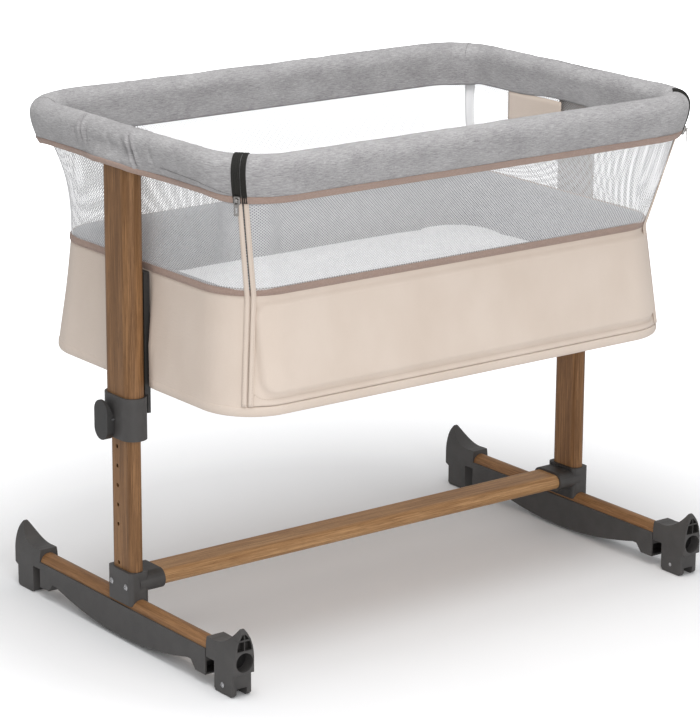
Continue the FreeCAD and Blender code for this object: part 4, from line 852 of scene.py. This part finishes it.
def netGrid(side):
    # a sheet of diamonds: every second point of a fine grid
    pitch = netLook["pitch"] / 2
    rows = 2 * round((netLook["top"] - netLook["foot"]) / (2 * pitch)) + 1
    s = columns(seamLevel, side, pitch)[0]
    if len(s) % 2 == 0:
        s = np.interp(np.linspace(0, 1, len(s) + 1), np.linspace(0, 1, len(s)), s)
    count = len(s)
    grid = np.zeros((count, rows, 3))
    ribbonTop = plackets["top"]
    for j in range(rows):
        t = j / (rows - 1)
        level = netLevel(t)
        points = ring(level, fitted(s, level, seamLevel, side))[0]
        risen = (level[3] - seamLevel[3]) / (ribbonTop[3] - seamLevel[3])
        outline = between(seamLevel, ribbonTop, min(1, risen))
        outline = (outline[0], outline[1], outline[2], level[3])
        held = ring(outline, fitted(s, outline, seamLevel, side))[0]
        steps = np.append(0, np.cumsum(np.linalg.norm(np.diff(points, axis=0), axis=1)))
        near = np.minimum(steps, steps[-1] - steps)
        ease = 1 - smooth(0, netLook["hold"], near)
        sleeve = 1 - 0.85 * smooth(0.7335, 0.7365, level[3])
        grid[:, j] = points + (held - points) * (ease * sleeve)[:, None]
    index = -np.ones((count, rows), dtype=int)
    points = []
    for i in range(count):
        for j in range(rows):
            if (i + j) % 2 == 0:
                index[i, j] = len(points)
                points.append(grid[i, j])
    faces = []
    for i in range(count):
        for j in range(rows):
            if (i + j) % 2 == 1:
                around = [(i - 1, j), (i, j - 1), (i + 1, j), (i, j + 1)]
                face = [index[a, b] for a, b in around if 0 <= a < count and 0 <= b < rows]
                if len(face) >= 3:
                    faces.append(face)
    return points, faces


def makeNet(name, side, body, replaced):
    points, faces = netGrid(side)
    obj = newPiece(name, points, faces, netWhite, flat=True)
    runTree(obj, holeTree, {"Hole": netLook["hole"], "Look": netWhite})
    finishPiece(obj, body, replaced)


makeNet("net_wall", "basket", "basket", ["mesh_wall"])
makeNet("net_front", "front", "front_side", ["front_mesh"])
print("net made")


def netJoin(sign):
    # a white tape over the net's seam in a rear corner
    middle, half, rows = netLook["joinPlace"], netLook["joinHalf"], netLook["joinRows"]
    points = []
    for row in range(rows):
        level = grown(netLevel(row / (rows - 1)), 0.0006)
        places = [middle + half * k for k in (-1, -0.5, 0, 0.5, 1)]
        outer, inner = ring(level, places)[0], ring(grown(level, -0.0014), places[::-1])[0]
        points += list(outer) + list(inner)
    points = np.array(points) * np.array([sign, 1, 1])
    faces = quads(rows, 10, closed=True) + [tuple(range(10)), tuple(range(rows * 10 - 10, rows * 10))[::-1]]
    return points, faces, [(p[1], p[2]) for p in points]


finishPiece(joined("net_joins", [netJoin(1), netJoin(-1)], mattressWhite), "basket")


def sleeveRib(place, sign):
    # a seam round the sleeve's section
    out, line = sleeveLook["ribOut"], []
    for u, v in sleeveProfile():
        if v > -rail["skirtDrop"] + sleeveLook["ribLow"]:
            grid = sleevePoints("basket", [(u * out, v * out)], np.array([place]), withFolds=False)
            line.append(grid[0, 0])
    return np.array(line) * np.array([sign, 1, 1])


def sleeveTuck():
    # the seam along the left end's skirt, from beside the leg to the zip
    start, line = sleeveLook["tuckPlace"], []
    end = zipAt(railReference, sleeveLook["tuckEnd"])
    for t in np.linspace(0, 1, 30):
        v = sleeveLook["tuckHeight"] - sleeveLook["tuckDrop"] * t
        place = start + (end - start) * t
        point = [(float(skirtOut(v)) + 0.0006, v)]
        line.append(sleevePoints("basket", point, np.array([place]), withFolds=False)[0, 0])
    return np.array(line)


sleeveSeams = [sleeveRib(sleeveLook["ribPlace"], 1), sleeveRib(sleeveLook["ribPlace"], -1), sleeveTuck()]
stitches("sleeve_seams", sleeveSeams, darkThread, "basket", spacing=0.0030,
         length=0.0026, width=0.0009, height=0.0006)


# the lower shell of beige cloth

shellLook = {
    "wall": 0.0080, "hem": 0.4250, "columnStep": 0.006, "rows": 26,
    "basketLining": (0.432, 0.5865, 0.0084), "frontLining": (0.4125, 0.5922, 0.0134),
    "boardLeft": -0.382, "boardRight": 0.398, "boardLow": 0.440, "boardHigh": 0.5775, "boardRound": 0.024,
    "boardProud": 0.0040, "ease": 0.0055, "groove": 0.0022, "wrinkle": 0.0022, "frontWrinkle": 0.0012,
    "innerLimit": 0.4105, "liningLimits": (0.4101, 0.4093), "innerFoot": 0.43, "underRise": 0.006,
}


def wallLevels(low, high, rows):
    out = []
    for t in np.linspace(0, 1, rows):
        z = low + (high - low) * t
        k = (z - footLevel[3]) / (seamLevel[3] - footLevel[3])
        if k >= 0:
            level = between(footLevel, seamLevel, k)
        else:
            under = -k * (seamLevel[3] - footLevel[3]) / shellLook["underRise"]
            level = between(footLevel, underLevel, math.sqrt(min(1, under)))
        out.append((level[0], level[1], level[2], z))
    return out


def wrinkled(grid, facing, amount):
    # slow slackness between the seams, with soft upright folds
    for i in range(grid.shape[0]):
        for j in range(grid.shape[1]):
            p = grid[i, j]
            slack = noise.noise(Vector((p[0] * 9, p[1] * 9, p[2] * 7 + 2)))
            folds = noise.noise(Vector((p[0] * 42, p[1] * 42, p[2] * 5)))
            t = min(max((p[2] - 0.415) / 0.172, 0), 1)
            grid[i, j] = p + facing[i, j] * amount * math.sin(math.pi * t) * (slack + 0.35 * folds)
    return grid


def shellWall():
    outerLevels = wallLevels(0.4115, seamLevel[3] + 0.001, shellLook["rows"])
    wall, foot = shellLook["wall"], shellLook["innerFoot"]
    inner = [grown(level, -wall) for level in outerLevels[::-1] if level[3] > foot]
    s, length = columns(seamLevel, "basket", shellLook["columnStep"])
    grid, facing = shellPoints(outerLevels, "basket", s)
    grid = wrinkled(grid, facing, shellLook["wrinkle"])
    inside, _ = shellPoints(inner, "basket", s)
    inside[..., 0] = np.sign(inside[..., 0]) * np.minimum(np.abs(inside[..., 0]), shellLook["innerLimit"])
    whole = np.concatenate([grid, inside], axis=1)
    faces = quads(len(s), whole.shape[1], closed=True)
    return capped(whole, faces, length, profileLength(whole[len(s) // 2]))


def shellTray():
    # the bottom: up round the hem and in under the board, with a little sag
    behind, ahead = (columns(footLevel, side, 0.008)[0] for side in ("basket", "front"))
    s = np.concatenate([behind, ahead[1:-1] + 8])
    rise = shellLook["hem"] - footLevel[3]
    rows = [grown(footLevel, -0.0078, rise - 0.0005), grown(footLevel, -0.0012, rise)]
    rows += [grown(footLevel, -0.0004, rise - 0.001), footLevel]
    rows += [(0.4347, 0.2757, 0.0887, 0.4118), (0.4325, 0.2735, 0.0865, 0.4100), underLevel]
    for shrink in (0.02, 0.05, 0.09, 0.14, 0.19, 0.24, 0.262):
        rows.append((underLevel[0] - shrink, underLevel[1] - shrink, max(0.006, underLevel[2] - shrink * 0.3),
                     underLevel[3] + 0.0004 + 0.0004 * math.sin(shrink * 60)))
    grid = besideLegs(ringGrid(rows, s))
    count, rowCount = grid.shape[:2]
    faces = roundQuads(count, rowCount)
    faces.append(tuple(i * rowCount + rowCount - 1 for i in range(count)))
    uv = grid[..., :2].reshape(-1, 2)
    return grid.reshape(-1, 3), faces, uv


def boardMask(x, z):
    # 1 over the stiff board inside the front cloth, easing to 0 round its rounded outline
    parts = ("Left", "Right", "Low", "High", "Round")
    left, right, low, high, r = (shellLook["board" + part] for part in parts)
    cx, cz = (left + right) / 2, (low + high) / 2
    hx, hz = (right - left) / 2, (high - low) / 2
    dx, dz = np.abs(x - cx) - (hx - r), np.abs(z - cz) - (hz - r)
    gap = np.hypot(np.maximum(dx, 0), np.maximum(dz, 0)) + np.minimum(np.maximum(dx, dz), 0) - r
    return 1 - smooth(-shellLook["ease"], 0.0005, gap), gap


def frontWall():
    levels = wallLevels(0.4262, seamLevel[3] + 0.001, 60)
    inner = [grown(level, -shellLook["wall"]) for level in levels[::-1]]
    s, length = columns(seamLevel, "front", 0.0034)
    grid, facing = shellPoints(levels, "front", s, legRoom=False)
    grid = wrinkled(grid, facing, shellLook["frontWrinkle"])
    mask, gap = boardMask(grid[..., 0], grid[..., 2])
    rim = np.exp(-((gap - 0.004) / 0.004) ** 2)
    grid = grid + facing * (shellLook["boardProud"] * mask - shellLook["groove"] * rim)[..., None]
    inside, _ = shellPoints(inner, "front", s, legRoom=False)
    whole = np.concatenate([grid, inside], axis=1)
    faces = quads(len(s), whole.shape[1], closed=True)
    return capped(whole, faces, length, profileLength(whole[len(s) // 2]))


def liningPart(side):
    # a thin cloth over the inside of the wall, and on the front over the stiff board too
    low, top, depth = shellLook[side + "Lining"]
    levels = wallLevels(low, top, 8)
    skin = [grown(level, -depth) for level in levels]
    # a lip over the wall's edge and the inside of the binding
    lip = bindingLook["seamTop"] + 0.0006 - seamLevel[3]
    skin += [grown(seamLevel, -0.0034, lip), grown(seamLevel, -0.0042, lip)]
    skin += [grown(level, -depth - 0.0008) for level in levels[::-1]]
    s, length = columns(seamLevel, side, shellLook["columnStep"])
    grid, _ = shellPoints(skin, side, s, legRoom=False)
    if side == "basket":
        limit = np.where(np.arange(grid.shape[1]) < grid.shape[1] // 2, *shellLook["liningLimits"])
        grid[..., 0] = np.sign(grid[..., 0]) * np.minimum(np.abs(grid[..., 0]), limit)
    return capped(grid, quads(len(s), grid.shape[1], closed=True), length, profileLength(grid[0]))


fabricShell = joined("fabric_shell", [shellWall(), shellTray()], beige)
finishPiece(fabricShell, "basket", ["lower_shell"])
frontCloth = joined("front_cloth", [frontWall()], beige)
finishPiece(frontCloth, "front_side", ["front_panel"])


def frontPlace(x):
    # where along the front's outline a point stands
    half, r = seamLevel[0] - seamLevel[2], seamLevel[2]
    if abs(x) <= half:
        return (x / half + 1) / 2
    turn = math.asin(min(1, (abs(x) - half) / r)) / (math.pi / 2)
    return 1 + turn if x > 0 else -turn


def boardLine(out):
    # a seam round the stiff board, a little outside its outline
    low, high = shellLook["boardLow"] - out, shellLook["boardHigh"]
    left, right, r = shellLook["boardLeft"] - out, shellLook["boardRight"] + out, shellLook["boardRound"]
    corners = [(left + r, low + r, math.pi), (right - r, low + r, 1.5 * math.pi)]
    places = [(left, high - r / 2)]
    for x, z, start in corners:
        angles = np.linspace(start, start + math.pi / 2, 7)
        places += [(x + r * math.cos(a), z + r * math.sin(a)) for a in angles]
    places.append((right, high - r / 2))
    line = []
    for (x0, z0), (x1, z1) in zip(places, places[1:]):
        steps = max(1, round(math.hypot(x1 - x0, z1 - z0) / 0.006))
        for t in np.arange(steps) / steps:
            x, z = x0 + (x1 - x0) * t, z0 + (z1 - z0) * t
            level = between(footLevel, seamLevel, (z - footLevel[3]) / (seamLevel[3] - footLevel[3]))
            line.append(ring(grown(level, 0.0003), [frontPlace(x)])[0][0])
    return np.array(line)


stitches("front_board_seam", [boardLine(0.0045)], beigeThread, "front_side", width=0.0010)
finishPiece(joined("shell_lining", [liningPart("basket")], lining), "basket")
finishPiece(joined("front_lining", [liningPart("front")], lining), "front_side")
print("shell made")


# cloth on the inside behind the legs

patchLook = {"low": 0.6900, "high": 0.7440, "in": 0.4190, "out": 0.4202, "bow": 0.0008}
patchSpans = {"left": (-1, 0.004, 0.036), "right": (1, 0.008, 0.145)}


def patchPart(sign, start, end):
    columnCount, rows = 21, 7
    middle, half = (start + end) / 2, (end - start) / 2
    points, faces = [], []
    for face, x in enumerate((patchLook["out"], patchLook["in"])):
        for i in range(columnCount):
            for j in range(rows):
                across = 2 * i / (columnCount - 1) - 1
                z = patchLook["low"] + (patchLook["high"] - patchLook["low"]) * j / (rows - 1)
                bow = patchLook["bow"] * across ** 4 * (1 if face else -1) / 2
                points.append((sign * (x + bow), middle + half * across, z))
    size = columnCount * rows
    for face in range(2):
        faces += [tuple(v + face * size for v in q) for q in quads(columnCount, rows)]
    border = [i * rows for i in range(columnCount)] + [(columnCount - 1) * rows + j for j in range(1, rows)]
    border += [i * rows + rows - 1 for i in range(columnCount - 2, -1, -1)] + list(range(rows - 2, 0, -1))
    for a, b in zip(border, border[1:] + border[:1]):
        faces.append((a, b, b + size, a + size))
    return points, faces, [(p[1], p[2]) for p in points]


legCloths = joined("leg_cloths", [patchPart(*span) for span in patchSpans.values()], beige)
finishPiece(legCloths, "basket", ["leg_patches"])


# the zips

zipLook = {
    "tapeBack": 0.0128, "tapeFront": 0.0080, "tapeThick": 0.0011, "placketLow": 0.4262,
    "placketThick": 0.0011, "placketGap": 0.0012, "toothPitch": 0.0021,
}


def mirrored(part):
    points, faces, uv = part
    points = np.asarray(points, float).copy()
    points[:, 0] *= -1
    return points, [tuple(face)[::-1] for face in faces], uv


def placketLevel(z, out):
    if z <= seamLevel[3]:
        k = (z - footLevel[3]) / (seamLevel[3] - footLevel[3])
        level = between(footLevel, seamLevel, k)
    else:
        k = (z - seamLevel[3]) / (plackets["top"][3] - seamLevel[3])
        level = between(seamLevel, plackets["top"], k)
    return (level[0] + out, level[1] + out, level[2] + out, z)


def ribbonPart(side, offsets, levelsAt, rows, thick, curl=0.0):
    # a strip beside the left zip: offsets across it, and levelsAt(row, out) gives its outline
    across = len(offsets)
    points, uv = [], []
    loops = [(offset, thick) for offset in offsets] + [(offset, 0.0) for offset in offsets[::-1]]
    for row in range(rows):
        for k, (offset, out) in enumerate(loops):
            edge = abs(2 * (k % across) / (across - 1) - 1)
            rise = out + (curl * (1 - edge ** 2) if out else 0)
            level = levelsAt(row, rise)
            points.append(ring(level, [zipAt(level, offset)])[0][0])
            uv.append((offset, row * 0.004))
    points = np.array(points)
    faces = quads(rows, 2 * across, closed=True)
    last = (rows - 1) * 2 * across
    faces += [tuple(range(2 * across)), tuple(range(last, last + 2 * across))[::-1]]
    return points, faces, uv


def placketPart(side):
    sign = 1 if side == "basket" else -1
    offsets = [sign * (zipLook["placketGap"] + plackets["width"] * k / 4) for k in range(5)]
    rows = 60
    low, high = zipLook["placketLow"], plackets["top"][3] + 0.002

    def level(row, out):
        return placketLevel(low + (high - low) * row / (rows - 1), out + 0.0008)

    return ribbonPart(side, offsets, level, rows, zipLook["placketThick"], 0.0006)


def tapePart(side):
    # the black band over the sleeve, from inside its crest to its foot
    sign = 1 if side == "basket" else -1
    width = zipLook["tapeBack"] if side == "basket" else zipLook["tapeFront"]
    offsets = [sign * (0.0004 + width * k / 12) for k in range(13)]
    angles = [math.pi / 2 - t for t in np.linspace(-0.20, math.pi / 2, 16)]
    path = [(rail["pad"] * math.cos(a), rail["pad"] * math.sin(a)) for a in angles]
    path += [(float(skirtOut(v)), v) for v in np.linspace(0, -rail["skirtDrop"] + 0.0005, 14)[1:]]

    def level(row, out):
        u, v = path[row]
        length = math.hypot(u, max(v, 0)) or 1.0
        up = out * max(v, 0) / length
        return grown(railReference, u + out * (u / length if v > 0 else 1.0), v + up)

    points, faces, uv = ribbonPart(side, offsets, level, len(path), zipLook["tapeThick"])
    ribs = len(offsets)
    for row in range(len(path)):
        u, v = path[row]
        for k in range(ribs):
            index = row * 2 * ribs + k
            lift = 0.0009 * abs(math.sin(k * math.pi / 4))
            outward = np.array([-math.sin(zipFoot["turn"]), -math.cos(zipFoot["turn"]), 0])
            share = u / rail["pad"] if v > 0 else 1.0
            points[index] += outward * lift * share
            points[index][2] += lift * max(v, 0) / rail["pad"]
    return points, faces, uv


for side, body, name, replaced in (("basket", "basket", "zip_bands", "zip_tapes"),
                                   ("front", "front_side", "front_zip_bands", "front_zip_tapes")):
    tapes = tapePart(side)
    bands = joined(name, [tapes, mirrored(tapes)], zipBand)
    finishPiece(bands, body, [replaced])
    flaps = placketPart(side)
    cloths = joined(name + "_plackets", [flaps, mirrored(flaps)], beige)
    finishPiece(cloths, body)


def zipLineAt(out, low, high, count, offset=0.0):
    heights = np.linspace(low, high, count)
    levels = [placketLevel(z, out) for z in heights]
    return np.array([ring(level, [zipAt(level, offset)])[0][0] for level in levels])


teeth = [zipLineAt(-0.0006, 0.597, 0.735, 40, 0.0005)]
teeth.append(teeth[0] * np.array([-1, 1, 1]))
stitches("zip_teeth", teeth, zipBand, "basket", spacing=zipLook["toothPitch"], length=0.0013,
         width=0.0024, height=0.0012, tree=toothTree)
for side, body in (("basket", "basket"), ("front", "front_side")):
    sign = 1 if side == "basket" else -1
    line = zipLineAt(0.0024, 0.430, 0.734, 60, sign * 0.0066)
    lines = [line, line * np.array([-1, 1, 1])]
    stitches(side + "_placket_stitches", lines, beigeThread, body)
print("zips made")


# the mattress, filled out by a cloth simulation

mattressLook = {
    "half": (0.408, 0.240), "corner": 0.078, "low": 0.4384, "high": 0.5094, "edge": 0.018, "drawn": 0.0035,
    "voxel": 0.006, "pressure": 4.0, "frames": 20, "cap": 0.007,
}


def mattressShape():
    a, b = mattressLook["half"]
    r, low, high, edge = (mattressLook[key] for key in ("corner", "low", "high", "edge"))
    rows = []
    for inset in np.linspace(0.236, edge, 16):
        rows.append((a - inset, b - inset, max(0.004, r - inset), low + 0.0004))
    for angle in np.linspace(-math.pi / 2, 0, 6)[1:]:
        out = edge * (1 - math.cos(angle))
        rows.append((a - out, b - out, r - out, low + edge * 0.7 * (1 + math.sin(angle))))
    for t in (0.25, 0.5, 0.75):
        drawn = mattressLook["drawn"] * math.sin(math.pi * t)
        rows.append((a - drawn, b - drawn, r, low + edge * 0.7 + (high - low - 1.6 * edge) * t))
    for angle in np.linspace(0, math.pi / 2, 7):
        out = edge * (1 - math.cos(angle))
        rows.append((a - out, b - out, r - out, high - 0.0065 - edge * 0.9 * (1 - math.sin(angle))))
    for inset in np.linspace(edge, 0.236, 18)[1:]:
        crown = 0.0065 * smooth(edge, 0.16, inset)
        rows.append((a - inset, b - inset, max(0.004, r - inset), high - 0.0065 + float(crown)))
    grid = ringGrid(rows, np.arange(0, 8, 0.05))
    count, rowCount = grid.shape[:2]
    faces = roundQuads(count, rowCount)
    faces.append(tuple(i * rowCount for i in range(count))[::-1])
    faces.append(tuple(i * rowCount + rowCount - 1 for i in range(count)))
    return grid.reshape(-1, 3), faces


def filled(obj, look):
    # inflates the closed shape a little, so that it swells between its edges
    bpy.context.view_layer.objects.active = obj
    remesh = obj.modifiers.new("voxels", "REMESH")
    remesh.mode = "VOXEL"
    remesh.voxel_size = look["voxel"]
    remesh.use_smooth_shade = True
    bpy.context.view_layer.update()
    seen = obj.evaluated_get(bpy.context.evaluated_depsgraph_get())
    obj.data = bpy.data.meshes.new_from_object(seen)
    obj.modifiers.clear()
    start = np.zeros(len(obj.data.vertices) * 3)
    obj.data.vertices.foreach_get("co", start)
    cloth = obj.modifiers.new("cloth", "CLOTH")
    cloth.settings.use_pressure = True
    cloth.settings.uniform_pressure_force = look["pressure"]
    cloth.settings.effector_weights.gravity = 0
    cloth.settings.quality = 4
    cloth.point_cache.frame_start, cloth.point_cache.frame_end = 1, look["frames"]
    for number in range(1, look["frames"] + 1):
        bpy.context.scene.frame_set(number)
    seen = obj.evaluated_get(bpy.context.evaluated_depsgraph_get())
    blown = np.zeros_like(start)
    seen.data.vertices.foreach_get("co", blown)
    obj.modifiers.clear()
    bpy.context.scene.frame_set(1)
    move = (blown - start).reshape(-1, 3)
    size = np.linalg.norm(move, axis=1, keepdims=True)
    move *= np.minimum(1, look["cap"] / np.maximum(size, 1e-9))
    settled = start.reshape(-1, 3) + move
    settled[:, 2] = np.clip(settled[:, 2], look["low"], look["high"] + 0.004)
    obj.data.vertices.foreach_set("co", settled.ravel())
    obj.data.update()
    return obj


points, faces = mattressShape()
mattress = newPiece("mattress_pad", points, faces, mattressWhite, outward=True)
filled(mattress, mattressLook)
mattress.data.polygons.foreach_set("use_smooth", [True] * len(mattress.data.polygons))
finishPiece(mattress, "basket", ["mattress"])
print("mattress made")


# floor, light and camera

def floorLook():
    # pale matt floor, shown lighter to the camera so that it meets the white backdrop
    shade = Shade("floor_look", 0.9)
    lit = shade.mix(shade.noise((3, 3, 3), 2), (0.80, 0.805, 0.815, 1), (0.82, 0.825, 0.835, 1))
    distance = shade.node("VectorMath", {0: shade.place.outputs["Object"]}, operation="LENGTH")
    lighter = shade.spread(distance.outputs["Value"], 0.6, 5.0, 1.15, 5.0)
    seen = shade.node("VectorMath", {0: lit, "Scale": lighter}, operation="SCALE").outputs["Vector"]
    camera = shade.node("LightPath").outputs["Is Camera Ray"]
    matt = shade.node("BsdfDiffuse", {"Color": shade.mix(camera, lit, seen)})
    output = shade.tree.nodes["Material Output"]
    shade.tree.links.new(matt.outputs["BSDF"], output.inputs["Surface"])
    return shade.material


bpy.ops.mesh.primitive_plane_add(size=30, location=(0, 0, -0.0008))
floor = bpy.context.object
floor.name = "floor"
floor.data.materials.append(floorLook())

world = bpy.data.worlds.new("studio")
bpy.context.scene.world = world
world.use_nodes = True
links, nodes = world.node_tree.links, world.node_tree.nodes
background = nodes["Background"]
white = nodes.new("ShaderNodeBackground")
path = nodes.new("ShaderNodeLightPath")
choose = nodes.new("ShaderNodeMixShader")
background.inputs["Color"].default_value = (1.0, 1.0, 1.0, 1)
background.inputs["Strength"].default_value = 0.50
white.inputs["Color"].default_value = (1, 1, 1, 1)
white.inputs["Strength"].default_value = 1.0
links.new(path.outputs["Is Camera Ray"], choose.inputs["Fac"])
links.new(background.outputs["Background"], choose.inputs[1])
links.new(white.outputs["Background"], choose.inputs[2])
links.new(choose.outputs["Shader"], nodes["World Output"].inputs["Surface"])


def softLight(name, place, aim, size, power):
    lamp = bpy.data.lights.new(name, "AREA")
    lamp.shape, lamp.size, lamp.energy = "DISK", size, power
    obj = inScene(name, lamp)
    obj.location = place
    obj.rotation_euler = (Vector(aim) - Vector(place)).to_track_quat("-Z", "Y").to_euler()


lamps = {  # place, aim, size and power
    "top": ((-0.3, -0.5, 3.6), (0, 0, 0), 2.6, 74),
    "fill": ((-1.9, -3.7, 1.7), (0, 0, 0.5), 2.4, 62),
}
for lampName, lampLook in lamps.items():
    softLight(lampName, *lampLook)

view = {
    "place": (-2.831, -3.731, 1.698), "azimuth": 0.645422757, "elevation": 0.276111088, "roll": 0.00541052,
    "focal": 3029.0, "width": 700, "height": 721,
}
lens = bpy.data.cameras.new("camera")
camera = inScene("camera", lens)
azimuth, elevation, roll = view["azimuth"], view["elevation"], view["roll"]
ahead = Vector((
    math.sin(azimuth) * math.cos(elevation), math.cos(azimuth) * math.cos(elevation), -math.sin(elevation),
))
level = Vector((math.cos(azimuth), -math.sin(azimuth), 0))
upright = level.cross(ahead)
sideways = math.cos(roll) * level + math.sin(roll) * upright
overhead = -math.sin(roll) * level + math.cos(roll) * upright
turned = Matrix((sideways, overhead, -ahead)).transposed().to_4x4()
camera.matrix_world = Matrix.Translation(view["place"]) @ turned
lens.sensor_width = 36
lens.lens = view["focal"] * lens.sensor_width / view["height"]
lens.clip_start, lens.clip_end = 0.05, 60
scene = bpy.context.scene
scene.camera = camera
scene.render.resolution_x, scene.render.resolution_y = view["width"], view["height"]
scene.render.engine = "CYCLES"
scene.cycles.samples = 160
scene.view_settings.view_transform = "Standard"
print("stage set")
